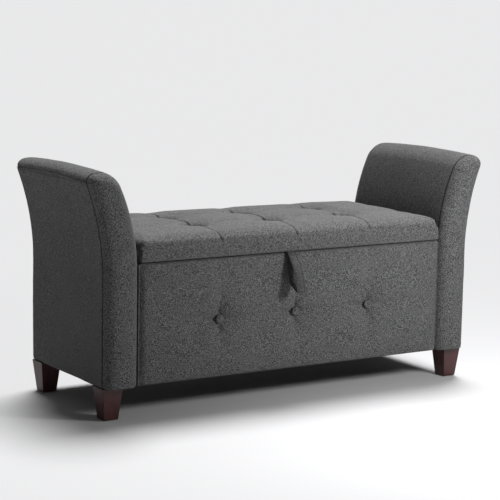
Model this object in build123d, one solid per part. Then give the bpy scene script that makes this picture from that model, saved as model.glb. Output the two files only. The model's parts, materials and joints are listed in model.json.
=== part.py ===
"""Armed storage bench: an upholstered box with a hinged, tufted lid between two flared arms.

+X is to the right seen from the front, +Y to the back and +Z up. The origin is the centre of the bounding
box at floor level. All sizes are in millimetres.
"""
import os
from math import atan2, degrees, sqrt

from build123d import *

# ---- driving dimensions -------------------------------------------------------------------------
ARM_DEPTH = 470.0          # arms, front to back
STRAP_REACH = 54.0         # how far the pull strap stands out in front of the arms
ARM_TOP = 665.0            # top of the arms
ARM_BASE = 89.0            # underside of the upholstery, on top of the legs
INNER_X = 505.0            # arm face that the box is bolted to
OUTER_X = 604.5            # outer arm face, where it is upright
INNER_BEND_Z = 395.0       # the inner face starts to lean out here
OUTER_BEND_Z = 380.0       # the outer face starts to lean out here
INNER_BEND_R = 556.0
OUTER_BEND_R = 700.0
TOP_FALL = 4.0             # the top falls this much towards the outside
INNER_TOP_R = 34.0
OUTER_TOP_R = 22.0

FABRIC = 2.0
ARM_FOAM = 15.0            # over the inner face and the top
OUTER_FOAM = 6.0           # over the outer face
FACING = 12.0              # padded front and rear ends of an arm
RIB = 15.0                 # plywood ribs
SHEET = 3.0                # fibreboard bent over the ribs
RAIL = 18.0                # base rail between the ribs
BOLT_BOARD = 12.0          # upright board that takes the arm bolts
TOP_RAIL_X = (590.0, 625.0)
TOP_RAIL_Z = (600.0, 640.0)
SEAM_Z = 642.0             # where the outer cover meets the cover that comes over the top
DUST_CLOTH = 1.0

RIM_Z = 420.0              # top of the box
LID_Z = 423.0              # underside of the lid
LID_TOP = 494.0
LID_ROUND = 16.0
LID_HALF = 499.0
BOX_RECESS = 7.0           # the box front stands back from the arms
BACK_RECESS = 8.0
FRONT_FOAM = 14.0
PANEL = 12.0               # front and back boards
END_PANEL = 15.0
FLOOR_Z = 104.0            # underside of the storage floor
FLOOR_BOARD = 9.0
CLEAT = 12.0
LINING = 1.0
LID_BOARD = 15.0
LID_BUTTON_SINK = 26.0     # from the top of the lid to the base of a button

LEG_TOP = 61.0
LEG_FOOT = 42.0
LEG_INSET = 19.5           # from the arm's front or rear end
GLIDE = 2.0
GLIDE_R = 14.0
BUTTON_R = 12.5
BUTTON_DOME = 6.0
BUTTON_PITCH = 250.0
LID_BUTTON_ROWS = (-80.0, 80.0)    # measured from the middle of the arms' depth
BUTTON_Z = 250.0

# ---- places worked out from them ----------------------------------------------------------------
ARM_FRONT = -(ARM_DEPTH + STRAP_REACH) / 2 + STRAP_REACH
ARM_REAR = ARM_FRONT + ARM_DEPTH
MID_Y = (ARM_FRONT + ARM_REAR) / 2
BOX_FRONT = ARM_FRONT + BOX_RECESS
BOX_REAR = ARM_REAR - BACK_RECESS
BOARD_FRONT = BOX_FRONT + FABRIC + FRONT_FOAM
INSIDE_FRONT = BOARD_FRONT + PANEL
INSIDE_REAR = BOX_REAR - FABRIC - PANEL
INSIDE_X = INNER_X - END_PANEL
WRAP_FRONT = ARM_FRONT + FACING
WRAP_REAR = ARM_REAR - FACING
FRAME_Z = ARM_BASE + DUST_CLOTH
LID_REAR = BOX_REAR - 1.0
FIT = 0.05                 # clearance round pins, screws and bolts

HINGE_R = 3.5
HINGE_Z = (RIM_Z + LID_Z) / 2
HINGE_Y = BOX_REAR + HINGE_R + 0.5
HINGE_PIN_R = 1.6
LEAF = 1.4
HINGE_LENGTH = 76.0
HINGE_XS = (-330.0, 330.0)
KNUCKLES = 5

LINK = 2.5
LINK_WIDTH = 16.0
LINK_GAP = 0.5
STAY_PIN_R = 3.0
STAY_DROP = (-46.0, -60.0)         # from the hinge line to the stay's pivot on the box
STAY_REACH = (-200.0, -13.0)       # from the hinge line to the stay's pivot on the lid
BRACKET = 2.0

# The strap's side view, as (y, z) from the line where it is sewn on: a knee, the folded end and a heel.
STRAP_X = -26.0
STRAP_WIDTH = 28.0
STRAP = 2.6
STRAP_STAND = 3.0          # the sewn line stands this far in front of the box
STRAP_ROOT_R = 2.4
STRAP_KNEE = (-36.0, -38.0)
STRAP_END_CUT = 2.25       # what rounding takes off the corner at the folded end
STRAP_END = (-STRAP_REACH - BOX_RECESS + STRAP_STAND - STRAP_END_CUT, -110.0)
STRAP_HEEL = (-17.0, -87.0)

BOLT_R = 3.0
BOLT_PLACES = [(y, z) for y in (-140.0, 110.0) for z in (170.0, 330.0)]
LEG_BOLT_R = 4.0

LEFT, RIGHT = -1, 1
SIDES = {"left": LEFT, "right": RIGHT}


# ---- small helpers ------------------------------------------------------------------------------
def block(x, y, z):
    """A box from three (low, high) pairs."""
    size = [abs(b - a) for a, b in (x, y, z)]
    return Pos((x[0] + x[1]) / 2, (y[0] + y[1]) / 2, (z[0] + z[1]) / 2) * Box(*size)


def rod_x(radius, x, y, z):
    """A cylinder along X between x[0] and x[1]."""
    return Pos((x[0] + x[1]) / 2, y, z) * Rot(0, 90, 0) * Cylinder(radius, abs(x[1] - x[0]))


def rod_z(radius, x, y, z):
    """A cylinder along Z between z[0] and z[1]."""
    return Pos(x, y, (z[0] + z[1]) / 2) * Cylinder(radius, z[1] - z[0])


def sided(shape, side):
    """A right-hand shape, or its mirror image on the left."""
    return shape if side == RIGHT else mirror(shape, about=Plane.YZ)


def solids(*shapes):
    """Every solid in the shapes, as one compound of separate solids."""
    return Compound(children=[s for shape in shapes for s in shape.solids()])


def upright(face, y):
    """Extrudes a face drawn in X and Z between two Y planes."""
    return extrude(Plane.XZ.offset(-y[0]) * face, amount=y[1] - y[0], dir=(0, 1, 0))


# ---- arms ---------------------------------------------------------------------------------------
def lean(radius, rise):
    """How far a bent face has leaned out at a height above the start of its bend."""
    return radius - sqrt(radius**2 - rise**2)


def arm_section(inner=0.0, outer=0.0, top=0.0, bottom=ARM_BASE):
    """The arm's cross-section in X and Z, drawn in from each face by its own amount."""
    inner_r, outer_r = INNER_BEND_R - inner, OUTER_BEND_R + outer
    inner_x, outer_x = INNER_X + inner, OUTER_X - outer
    top_in, top_out = ARM_TOP - top, ARM_TOP - TOP_FALL - top
    inner_middle, outer_middle = (INNER_BEND_Z + top_in) / 2, (OUTER_BEND_Z + top_out) / 2

    def inner_at(z):
        return (inner_x + lean(inner_r, z - INNER_BEND_Z), z)

    def outer_at(z):
        return (outer_x + lean(outer_r, z - OUTER_BEND_Z), z)

    face = make_face(
        [
            Line((inner_x, bottom), (inner_x, INNER_BEND_Z)),
            ThreePointArc((inner_x, INNER_BEND_Z), inner_at(inner_middle), inner_at(top_in)),
            Line(inner_at(top_in), outer_at(top_out)),
            ThreePointArc(outer_at(top_out), outer_at(outer_middle), (outer_x, OUTER_BEND_Z)),
            Line((outer_x, OUTER_BEND_Z), (outer_x, bottom)),
            Line((outer_x, bottom), (inner_x, bottom)),
        ]
    )
    corners = face.vertices().sort_by(Axis.Y)[-2:]
    inner_corner, outer_corner = corners.sort_by(Axis.X)
    face = fillet(inner_corner, INNER_TOP_R - max(inner, top))
    outer_corner = face.vertices().sort_by_distance((outer_corner.X, outer_corner.Y))[0]
    return fillet(outer_corner, max(OUTER_TOP_R - max(outer, top), 3.0))


def arm_bolt_holes(radius, x):
    """Cylinders along X at each place where an arm is bolted to the box."""
    return [rod_x(radius, x, MID_Y + y, z) for y, z in BOLT_PLACES]


def leg_places():
    """The middle of each right-hand leg, front then rear."""
    x = OUTER_X - LEG_TOP / 2
    return [(x, ARM_FRONT + LEG_INSET + LEG_TOP / 2), (x, ARM_REAR - LEG_INSET - LEG_TOP / 2)]


def arm_parts():
    """The right-hand arm's pieces."""
    frame_inset = dict(inner=FABRIC + ARM_FOAM, outer=FABRIC + OUTER_FOAM, top=FABRIC + ARM_FOAM)
    sheet_inset = {face: inset + SHEET for face, inset in frame_inset.items()}
    whole = arm_section(bottom=FRAME_Z)
    padded = arm_section(FABRIC, FABRIC, FABRIC, FRAME_Z)
    frame = arm_section(**frame_inset, bottom=FRAME_Z)
    hollow = arm_section(**sheet_inset, bottom=FRAME_Z)
    wrap_y = (WRAP_FRONT, WRAP_REAR)
    between_ribs = (WRAP_FRONT + RIB, WRAP_REAR - RIB)

    ribs = [upright(frame, (WRAP_FRONT, WRAP_FRONT + RIB)), upright(frame, (WRAP_REAR - RIB, WRAP_REAR))]
    inner_low = INNER_X + sheet_inset["inner"]
    outer_low = OUTER_X - sheet_inset["outer"]
    base_rail = block((inner_low, outer_low), between_ribs, (FRAME_Z, FRAME_Z + RAIL))
    bolt_board = block((inner_low, inner_low + BOLT_BOARD), between_ribs, (FRAME_Z + RAIL, INNER_BEND_Z))
    waist_rail = block((outer_low - 20, outer_low), between_ribs, (INNER_BEND_Z - 45, INNER_BEND_Z - 15))
    top_rail = block(TOP_RAIL_X, between_ribs, TOP_RAIL_Z)
    leg_holes = [rod_z(LEG_BOLT_R + 1.5, x, y, (FRAME_Z - 1, FRAME_Z + RAIL + 1)) for x, y in leg_places()]
    rails = [
        base_rail - leg_holes,
        bolt_board - arm_bolt_holes(BOLT_R + 1.5, (inner_low - 1, inner_low + BOLT_BOARD + 1)),
        waist_rail,
        top_rail,
    ]

    clearance_holes = arm_bolt_holes(BOLT_R + 0.5, (INNER_X - 1, INNER_X + 30))
    sheet = upright(frame, between_ribs) - upright(hollow, between_ribs) - clearance_holes
    wrap_foam = upright(padded, wrap_y) - upright(frame, wrap_y) - clearance_holes
    facing_pad = upright(padded, (ARM_FRONT + FABRIC, WRAP_FRONT))
    skin = upright(whole, wrap_y) - upright(padded, wrap_y)
    outer_half = ((INNER_X + OUTER_X) / 2 + 30, OUTER_X + 100)
    outer_zone = block(outer_half, (ARM_FRONT - 1, ARM_REAR + 1), (0, SEAM_Z))
    facing_shell = upright(whole, (ARM_FRONT, WRAP_FRONT)) - facing_pad
    rear_shell = upright(whole, (WRAP_REAR, ARM_REAR))
    cloth = block((INNER_X, OUTER_X), (ARM_FRONT, ARM_REAR), (ARM_BASE, FRAME_Z))
    cloth_holes = [rod_z(LEG_BOLT_R + 0.5, x, y, (ARM_BASE - 1, FRAME_Z + 1)) for x, y in leg_places()]
    return {
        "arm_ribs": solids(*ribs),
        "arm_rails": solids(*rails),
        "arm_sheet": sheet,
        "arm_foam": solids(wrap_foam, facing_pad),
        "arm_inner_cover": skin - outer_zone - clearance_holes,
        "arm_outer_cover": skin & outer_zone,
        "arm_front_facing": facing_shell,
        "arm_rear_facing": rear_shell,
        "arm_dust_cloth": cloth - cloth_holes,
    }


# ---- legs and their fixings ---------------------------------------------------------------------
def leg(x, y):
    """A square leg that tapers equally on all four sides, with a blind hole for its bolt."""
    foot = Plane((x, y, GLIDE)) * Rectangle(LEG_FOOT, LEG_FOOT)
    head = Plane((x, y, ARM_BASE)) * Rectangle(LEG_TOP, LEG_TOP)
    body = loft([foot, head])
    long_edges = body.edges().filter_by(lambda e: e.bounding_box().size.Z > 50)
    hole = rod_z(LEG_BOLT_R + FIT, x, y, (ARM_BASE - 40, ARM_BASE + 1))
    return fillet(long_edges, 1.5) - hole


def leg_parts():
    names = ("front", "rear")
    parts = {}
    for word, side in SIDES.items():
        for name, (x, y) in zip(names, leg_places()):
            parts[f"{name}_{word}_leg"] = leg(side * x, y)
    spots = [(side * x, y) for side in SIDES.values() for x, y in leg_places()]
    bolt_z = (ARM_BASE - 38, FRAME_Z + RAIL + 6)
    parts["leg_bolts"] = solids(*[rod_z(LEG_BOLT_R, x, y, bolt_z) for x, y in spots])
    nuts = []
    for x, y in spots:
        flange = rod_z(11.0, x, y, (FRAME_Z + RAIL, FRAME_Z + RAIL + 1.5))
        barrel = rod_z(LEG_BOLT_R + 1.45, x, y, (FRAME_Z + 8, FRAME_Z + RAIL))
        nuts.append(flange + barrel - rod_z(LEG_BOLT_R + FIT, x, y, (FRAME_Z, FRAME_Z + 30)))
    parts["leg_tee_nuts"] = solids(*nuts)
    glides = [fillet(rod_z(GLIDE_R, x, y, (0, GLIDE)).edges().sort_by(Axis.Z)[0], 0.8) for x, y in spots]
    parts["leg_glides"] = solids(*glides)
    return parts


# ---- buttons ------------------------------------------------------------------------------------
def button():
    """A covered button with its dome towards +Z and its base at the origin, on a short shank."""
    bulge = (BUTTON_R**2 + BUTTON_DOME**2) / (2 * BUTTON_DOME)
    dome = Pos(0, 0, BUTTON_DOME - bulge) * Sphere(bulge) & block((-20, 20), (-20, 20), (0, 20))
    return dome + rod_z(2.0, 0, 0, (-10, 0.5))


BUTTON_HOLE = Cylinder(BUTTON_R + 0.4, 60)


def front_button_spots():
    """On the box front, with the dome standing out of the surface to the front."""
    return [Pos(k * BUTTON_PITCH, BOX_FRONT + FABRIC, BUTTON_Z) * Rot(90, 0, 0) for k in (-1, 0, 1)]


def lid_button_spots():
    """On the lid, sunk into it."""
    depth = LID_TOP - LID_BUTTON_SINK
    return [Pos(k * BUTTON_PITCH, MID_Y + row, depth) for row in LID_BUTTON_ROWS for k in (-1, 0, 1)]


# ---- box ----------------------------------------------------------------------------------------
def box_parts():
    across = (-INNER_X, INNER_X)
    base_z = ARM_BASE + FABRIC
    top_z = RIM_Z - FABRIC
    front_board = block(across, (BOARD_FRONT, INSIDE_FRONT), (base_z, top_z))
    front_foam = block((-INNER_X + 4, INNER_X - 4), (BOX_FRONT + FABRIC, BOARD_FRONT), (base_z, top_z))
    shell = block((-INNER_X + 2, INNER_X - 2), (BOX_FRONT, INSIDE_FRONT), (ARM_BASE, RIM_Z))
    level = shell.edges().filter_by(Axis.X).sort_by(Axis.Y)[:2]
    upright_edges = shell.edges().filter_by(Axis.Z).sort_by(Axis.Y)[:2]
    shell = fillet(level + upright_edges, 4.0)
    pads = [spot * BUTTON_HOLE for spot in front_button_spots()]
    shanks = [spot * Cylinder(2.0 + FIT, 24) for spot in front_button_spots()]
    front_foam = front_foam & shell
    front_cover = shell - block(across, (BOX_FRONT + FABRIC, INSIDE_FRONT + 1), (base_z, top_z)) - pads

    end_y = (INSIDE_FRONT, INSIDE_REAR)
    end_board = block((INSIDE_X, INNER_X), end_y, (base_z, RIM_Z))
    end_board -= arm_bolt_holes(BOLT_R + 0.5, (INSIDE_X - 1, INNER_X + 1))
    back_board = block(across, (INSIDE_REAR, INSIDE_REAR + PANEL), (base_z, RIM_Z))
    back_board -= [pilot_hole(x, y, RIM_Z - 14, RIM_Z + 1) for x, y in hinge_screw_spots(BACK_LEAF_Y)]
    back_cover = block((-INNER_X + 2, INNER_X - 2), (INSIDE_REAR + PANEL, BOX_REAR), (ARM_BASE, RIM_Z))

    inside_x = (-INSIDE_X, INSIDE_X)
    floor_top = FLOOR_Z + FLOOR_BOARD
    floor_board = block(inside_x, end_y, (FLOOR_Z, floor_top))
    cleats = [
        block(inside_x, (INSIDE_FRONT, INSIDE_FRONT + 20), (FLOOR_Z - CLEAT, FLOOR_Z)),
        block(inside_x, (INSIDE_REAR - 20, INSIDE_REAR), (FLOOR_Z - CLEAT, FLOOR_Z)),
        block((-12, 12), (INSIDE_FRONT + 20, INSIDE_REAR - 20), (FLOOR_Z - CLEAT, FLOOR_Z)),
    ]
    wall_z = (floor_top + LINING, RIM_Z)
    side_lining = block((INSIDE_X - LINING, INSIDE_X), (end_y[0] + LINING, end_y[1] - LINING), wall_z)
    side_lining -= arm_bolt_holes(BOLT_R + 0.5, (INSIDE_X - 5, INSIDE_X + 1))
    lining = [
        block(inside_x, end_y, (floor_top, floor_top + LINING)),
        block(inside_x, (end_y[0], end_y[0] + LINING), wall_z),
        block(inside_x, (end_y[1] - LINING, end_y[1]), wall_z),
        side_lining,
        sided(side_lining, LEFT),
    ]
    cloth_y = (INSIDE_FRONT + 1, INSIDE_REAR - 1)
    cloth = block((-INNER_X + 3, INNER_X - 3), cloth_y, (base_z - DUST_CLOTH, base_z))
    bumper_x = (INSIDE_X + INNER_X) / 2
    bumpers = [
        rod_z(6.0, side * bumper_x, y, (RIM_Z, LID_Z))
        for side in SIDES.values()
        for y in (end_y[0] + 30, end_y[1] - 30)
    ]
    return {
        "front_board": front_board - shanks,
        "front_foam": front_foam - pads,
        "front_cover": front_cover,
        "front_buttons": solids(*[spot * button() for spot in front_button_spots()]),
        "back_board": back_board,
        "back_cover": back_cover,
        "left_end_board": sided(end_board, LEFT),
        "right_end_board": end_board,
        "storage_floor": floor_board,
        "floor_cleats": solids(*cleats),
        "storage_lining": solids(*lining),
        "lid_bumpers": solids(*bumpers),
        "box_dust_cloth": cloth,
    }


def arm_fixings():
    """Flanged bolts through the end boards into tee nuts in the arms."""
    seat = INSIDE_X - LINING
    nut_x = INNER_X + FABRIC + ARM_FOAM + SHEET
    bolts, nuts = [], []
    for y, z in BOLT_PLACES:
        place = (MID_Y + y, z)
        flange = rod_x(8.0, (seat - 1.6, seat), *place)
        head = Pos(seat - 3.6, *place) * Rot(0, 90, 0) * extrude(RegularPolygon(5.0, 6), amount=2, both=True)
        bolts.append(head + flange + rod_x(BOLT_R, (seat - 1, nut_x + 16), *place))
        nut_flange = rod_x(9.0, (nut_x + 12, nut_x + 13.5), *place)
        barrel = rod_x(BOLT_R + 1.45, (nut_x + 2, nut_x + 12), *place) + nut_flange
        nuts.append(barrel - rod_x(BOLT_R + FIT, (nut_x, nut_x + 20), *place))
    return {
        "arm_bolts": solids(*[sided(b, side) for side in SIDES.values() for b in bolts]),
        "arm_tee_nuts": solids(*[sided(n, side) for side in SIDES.values() for n in nuts]),
    }


# ---- lid ----------------------------------------------------------------------------------------
def lid_parts():
    across = (-LID_HALF, LID_HALF)
    inside = (-LID_HALF + FABRIC, LID_HALF - FABRIC)
    inside_y = (BOX_FRONT + FABRIC, LID_REAR - FABRIC)
    board_z = (LID_Z + LINING, LID_Z + LINING + LID_BOARD)
    board = block(inside, inside_y, board_z)
    whole = block(across, (BOX_FRONT, LID_REAR), (LID_Z, LID_TOP))
    whole = fillet(whole.edges().filter_by(Axis.Z) + whole.edges().group_by(Axis.Z)[-1], LID_ROUND)
    core = block(inside, inside_y, (LID_Z - 1, LID_TOP - FABRIC))
    core = fillet(core.edges().filter_by(Axis.Z) + core.edges().group_by(Axis.Z)[-1], LID_ROUND - FABRIC)
    foam = core - block(across, (BOX_FRONT, LID_REAR), (LID_Z - 2, board_z[1]))
    pads = [spot * Pos(0, 0, 30) * BUTTON_HOLE for spot in lid_button_spots()]
    shanks = [spot * Cylinder(2.0 + FIT, 24) for spot in lid_button_spots()]
    lining_y = (BOX_FRONT + 14, LID_REAR - 14)
    lining = block((-LID_HALF + 12, LID_HALF - 12), lining_y, (LID_Z, LID_Z + LINING))
    return_edge = block(inside, inside_y, (LID_Z, LID_Z + LINING)) & core
    pilot_z = (LID_Z - 1, LID_Z + 13)
    screw_holes = [pilot_hole(x, y, *pilot_z) for x, y in hinge_screw_spots(LID_LEAF_Y)]
    board = board & core
    return {
        "lid_board": board - screw_holes,
        "lid_foam": foam - pads - shanks,
        "lid_cover": whole - core - pads + (return_edge - lining - screw_holes),
        "lid_buttons": solids(*[spot * button() for spot in lid_button_spots()]),
        "lid_lining": lining - screw_holes,
    }


# ---- hinges -------------------------------------------------------------------------------------
BACK_LEAF_Y = INSIDE_REAR + 5.0
LID_LEAF_Y = HINGE_Y - 24.0
SCREW_R = 1.5
SCREW_HEAD_R = 2.9


def hinge_screw_spots(y):
    """Three screws along each hinge leaf."""
    return [(hx + dx, y) for hx in HINGE_XS for dx in (-28.0, 0.0, 28.0)]


def pilot_hole(x, y, low, high):
    return rod_z(SCREW_R + FIT, x, y, (low, high))


def hinge_leaf(hinge_x, rows, leaf_z, leaf_front):
    """A flat leaf that rolls into knuckles; rows are the knuckles that belong to it."""
    pitch = HINGE_LENGTH / KNUCKLES
    low = hinge_x - HINGE_LENGTH / 2
    flat = block((low, low + HINGE_LENGTH), (leaf_front, HINGE_Y - HINGE_R - 0.6), leaf_z)
    for k in rows:
        x = (low + k * pitch + 0.2, low + (k + 1) * pitch - 0.2)
        flat += rod_x(HINGE_R, x, HINGE_Y, HINGE_Z)
        flat += block(x, (HINGE_Y - HINGE_R - 0.8, HINGE_Y), leaf_z)
    return flat


def countersunk_screw(x, y, leaf_z, direction):
    """A screw whose flat head is flush with the leaf; direction is where its point goes."""
    head_z, point_z = (leaf_z[1], leaf_z[0] - 12) if direction < 0 else (leaf_z[0], leaf_z[1] + 12)
    cone = Cone(SCREW_R, SCREW_HEAD_R, LEAF) if direction < 0 else Cone(SCREW_HEAD_R, SCREW_R, LEAF)
    shank = rod_z(SCREW_R, x, y, tuple(sorted((head_z + direction * LEAF, point_z))))
    return Pos(x, y, (leaf_z[0] + leaf_z[1]) / 2) * cone + shank


def countersink(x, y, leaf_z, direction):
    """The hole that such a screw sits in."""
    low, high = (SCREW_R, SCREW_HEAD_R) if direction < 0 else (SCREW_HEAD_R, SCREW_R)
    return Pos(x, y, (leaf_z[0] + leaf_z[1]) / 2) * Cone(low + FIT, high + FIT, LEAF)


def hinge_parts():
    base_z = (RIM_Z, RIM_Z + LEAF)
    lid_z = (LID_Z - LEAF, LID_Z)
    pin_hole = rod_x(HINGE_PIN_R + FIT, (-400, 400), HINGE_Y, HINGE_Z)
    base_leaves, lid_leaves, pins = [], [], []
    for x in HINGE_XS:
        base = hinge_leaf(x, range(0, KNUCKLES, 2), base_z, INSIDE_REAR)
        lid = hinge_leaf(x, range(1, KNUCKLES, 2), lid_z, HINGE_Y - 34.0)
        base_leaves.append(base)
        lid_leaves.append(lid)
        pins.append(rod_x(HINGE_PIN_R, (x - HINGE_LENGTH / 2, x + HINGE_LENGTH / 2), HINGE_Y, HINGE_Z))
    base_spots = hinge_screw_spots(BACK_LEAF_Y)
    lid_spots = hinge_screw_spots(LID_LEAF_Y)
    base_sinks = [countersink(x, y, base_z, -1) for x, y in base_spots]
    lid_sinks = [countersink(x, y, lid_z, 1) for x, y in lid_spots]
    return {
        "hinge_base_leaves": solids(*[leaf - pin_hole - base_sinks for leaf in base_leaves]),
        "hinge_lid_leaves": solids(*[leaf - pin_hole - lid_sinks for leaf in lid_leaves]),
        "hinge_pins": solids(*pins),
        "hinge_base_screws": solids(*[countersunk_screw(x, y, base_z, -1) for x, y in base_spots]),
        "hinge_lid_screws": solids(*[countersunk_screw(x, y, lid_z, 1) for x, y in lid_spots]),
    }


# ---- lid stays ----------------------------------------------------------------------------------
# Hinge line, box pivot, lid pivot and middle pivot are the corners of a parallelogram, so the lower
# link always turns with the lid and the upper link never turns.
BOX_PIVOT = (HINGE_Y + STAY_DROP[0], HINGE_Z + STAY_DROP[1])
LID_PIVOT = (HINGE_Y + STAY_REACH[0], HINGE_Z + STAY_REACH[1])
MID_PIVOT = (BOX_PIVOT[0] + STAY_REACH[0], BOX_PIVOT[1] + STAY_REACH[1])
PLATE_X = (INSIDE_X - LINING - BRACKET, INSIDE_X - LINING)
LOWER_X = (PLATE_X[0] - LINK_GAP - LINK, PLATE_X[0] - LINK_GAP)
UPPER_X = (LOWER_X[0] - LINK_GAP - LINK, LOWER_X[0] - LINK_GAP)
RIVET_HEAD = 1.5


def link(start, end, x, holes=()):
    """A flat link with round ends between two pivots given as (y, z)."""
    length = sqrt((end[0] - start[0]) ** 2 + (end[1] - start[1]) ** 2)
    angle = degrees(atan2(end[1] - start[1], end[0] - start[0]))
    middle = ((start[0] + end[0]) / 2, (start[1] + end[1]) / 2)
    outline = Pos(*middle) * Rot(0, 0, angle) * SlotCenterToCenter(length, LINK_WIDTH)
    plate = extrude(Plane.YZ.offset(x[0]) * outline, amount=x[1] - x[0])
    for pivot in holes:
        plate -= rod_x(STAY_PIN_R + FIT, (x[0] - 1, x[1] + 1), *pivot)
    return plate


def rivet(pivot, shank_x, head_x):
    """A shank along X with a low round head at its inner end."""
    return rod_x(STAY_PIN_R, shank_x, *pivot) + rod_x(STAY_PIN_R + 2.5, head_x, *pivot)


def stay_parts():
    """The right-hand stay: two brackets, two links and the rivets that join them."""
    gap = LINK_GAP / 2
    pivot_y, pivot_z = BOX_PIVOT
    box_plate = block(PLATE_X, (pivot_y - 14, pivot_y + 14), (pivot_z - 40, pivot_z + 16))
    box_plate = fillet(box_plate.edges().filter_by(Axis.X), 6.0)
    box_head = (LOWER_X[0] - gap - RIVET_HEAD, LOWER_X[0] - gap)
    box_rivet = rivet(BOX_PIVOT, (box_head[1] - 0.5, PLATE_X[0] + 1), box_head)

    flange_top = LID_Z - BRACKET
    flange = link(LID_PIVOT, (LID_PIVOT[0], flange_top - LINK_WIDTH / 2), LOWER_X)
    web = block(LOWER_X, (LID_PIVOT[0] - 20, LID_PIVOT[0] + 20), (LID_PIVOT[1], LID_Z))
    foot_y = (LID_PIVOT[0] - 20, LID_PIVOT[0] + 20)
    foot = block((LOWER_X[1] - 24, LOWER_X[1]), foot_y, (flange_top, LID_Z))
    lid_head = (UPPER_X[0] - gap - RIVET_HEAD, UPPER_X[0] - gap)
    lid_rivet = rivet(LID_PIVOT, (lid_head[1] - 0.5, LOWER_X[0] + 1), lid_head)

    lower = link(BOX_PIVOT, MID_PIVOT, LOWER_X, holes=[BOX_PIVOT])
    mid_rivet = rivet(MID_PIVOT, (lid_head[1] - 0.5, LOWER_X[0] + 1), lid_head)
    upper = link(MID_PIVOT, LID_PIVOT, UPPER_X, holes=[MID_PIVOT, LID_PIVOT])
    return {
        "stay_box_brackets": box_plate + box_rivet,
        "stay_lid_brackets": flange + web + foot + lid_rivet,
        "stay_lower_link": lower + mid_rivet,
        "stay_upper_link": upper,
    }


# ---- pull strap ---------------------------------------------------------------------------------
def strap_parts():
    """A flat band folded into a loop that hangs out of the gap under the lid."""
    root = (BOX_FRONT - STRAP_STAND, HINGE_Z)
    spread = STRAP_ROOT_R - 0.1
    corners = [(0, spread), STRAP_KNEE, STRAP_END, STRAP_HEEL, (0, -spread)]
    bends = [0.2, 30.0, 3.2, 14.0, 0.2]
    outline = FilletPolyline(*[(root[0] + y, root[1] + z) for y, z in corners], radius=bends, close=True)
    face = make_face(outline)
    x = (STRAP_X - STRAP_WIDTH / 2, STRAP_X + STRAP_WIDTH / 2)
    band = extrude(Plane.YZ.offset(x[0]) * (face - offset(face, amount=-STRAP)), amount=STRAP_WIDTH)
    tab = block(x, (BOX_FRONT - 0.3, BOX_FRONT + 24), (RIM_Z + 0.2, LID_Z))
    return {"pull_strap": band + rod_x(STRAP_ROOT_R, x, *root), "strap_tab": tab}


def all_parts():
    """Every node by name."""
    parts = {}
    for name, shape in arm_parts().items():
        for word, side in SIDES.items():
            parts[f"{word}_{name}"] = sided(shape, side)
    for group in (leg_parts(), box_parts(), arm_fixings(), lid_parts(), hinge_parts(), strap_parts()):
        parts.update(group)
    for name, shape in stay_parts().items():
        if name.endswith("brackets"):
            parts[name] = solids(sided(shape, LEFT), shape)
        else:
            for word, side in SIDES.items():
                parts[f"{word}_{name}"] = sided(shape, side)
    return parts


if __name__ == "__main__":
    os.makedirs("parts", exist_ok=True)
    for node, shape in all_parts().items():
        export_step(shape, f"parts/{node}.step")
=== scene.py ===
"""Armed storage bench: the covers, padding, buttons, pull strap and finishes built round its frame."""
import json
from collections import namedtuple
from math import cos, pi, radians, sin, tau

import bmesh
import bpy
import numpy as np
from bpy.props import FloatProperty, FloatVectorProperty, IntProperty
from mathutils import Matrix, Vector, noise


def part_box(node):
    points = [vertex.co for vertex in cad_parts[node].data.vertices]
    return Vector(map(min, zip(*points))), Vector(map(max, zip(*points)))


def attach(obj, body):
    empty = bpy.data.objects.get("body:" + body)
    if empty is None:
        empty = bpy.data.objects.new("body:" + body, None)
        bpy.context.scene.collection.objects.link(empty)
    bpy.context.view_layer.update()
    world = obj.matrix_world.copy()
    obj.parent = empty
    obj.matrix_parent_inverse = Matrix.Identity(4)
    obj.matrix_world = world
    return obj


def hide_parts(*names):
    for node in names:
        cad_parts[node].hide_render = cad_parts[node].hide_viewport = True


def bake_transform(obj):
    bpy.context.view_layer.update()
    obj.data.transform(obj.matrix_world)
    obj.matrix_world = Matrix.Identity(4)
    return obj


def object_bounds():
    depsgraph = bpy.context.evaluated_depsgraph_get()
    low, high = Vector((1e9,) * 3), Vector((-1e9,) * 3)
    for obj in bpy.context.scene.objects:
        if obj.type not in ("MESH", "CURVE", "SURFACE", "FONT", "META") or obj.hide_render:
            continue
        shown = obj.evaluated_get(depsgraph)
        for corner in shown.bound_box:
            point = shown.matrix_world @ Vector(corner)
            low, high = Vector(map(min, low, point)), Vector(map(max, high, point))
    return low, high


bl_info = {
    "name": "Armed storage bench",
    "version": (1, 0, 0),
    "blender": (4, 5, 0),
    "location": "View3D > Sidebar > Bench",
    "description": "Upholstery and finishes for a storage bench with flared arms",
    "category": "Object",
}

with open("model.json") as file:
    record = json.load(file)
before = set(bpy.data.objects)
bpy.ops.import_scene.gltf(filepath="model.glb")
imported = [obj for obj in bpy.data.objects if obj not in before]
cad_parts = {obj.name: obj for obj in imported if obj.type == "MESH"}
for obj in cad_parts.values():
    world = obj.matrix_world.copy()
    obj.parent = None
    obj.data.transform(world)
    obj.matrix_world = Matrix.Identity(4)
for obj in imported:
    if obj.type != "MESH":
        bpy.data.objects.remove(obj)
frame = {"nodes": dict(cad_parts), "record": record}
CAD_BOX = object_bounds()
FAR = 1.0  # a distance that no seam reaches over


def length(name, default, description):
    """A size in metres that a user may change."""
    return FloatProperty(name=name, default=default, description=description, unit="LENGTH", precision=4)


def tint(name, default, description):
    """A colour that a user may change."""
    return FloatVectorProperty(
        name=name, default=default, description=description, subtype="COLOR", size=3, min=0.0, max=1.0
    )


def plain(name, default, description, low=0.0, high=1000.0):
    """A number without a unit."""
    return FloatProperty(name=name, default=default, description=description, min=low, max=high)


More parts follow.
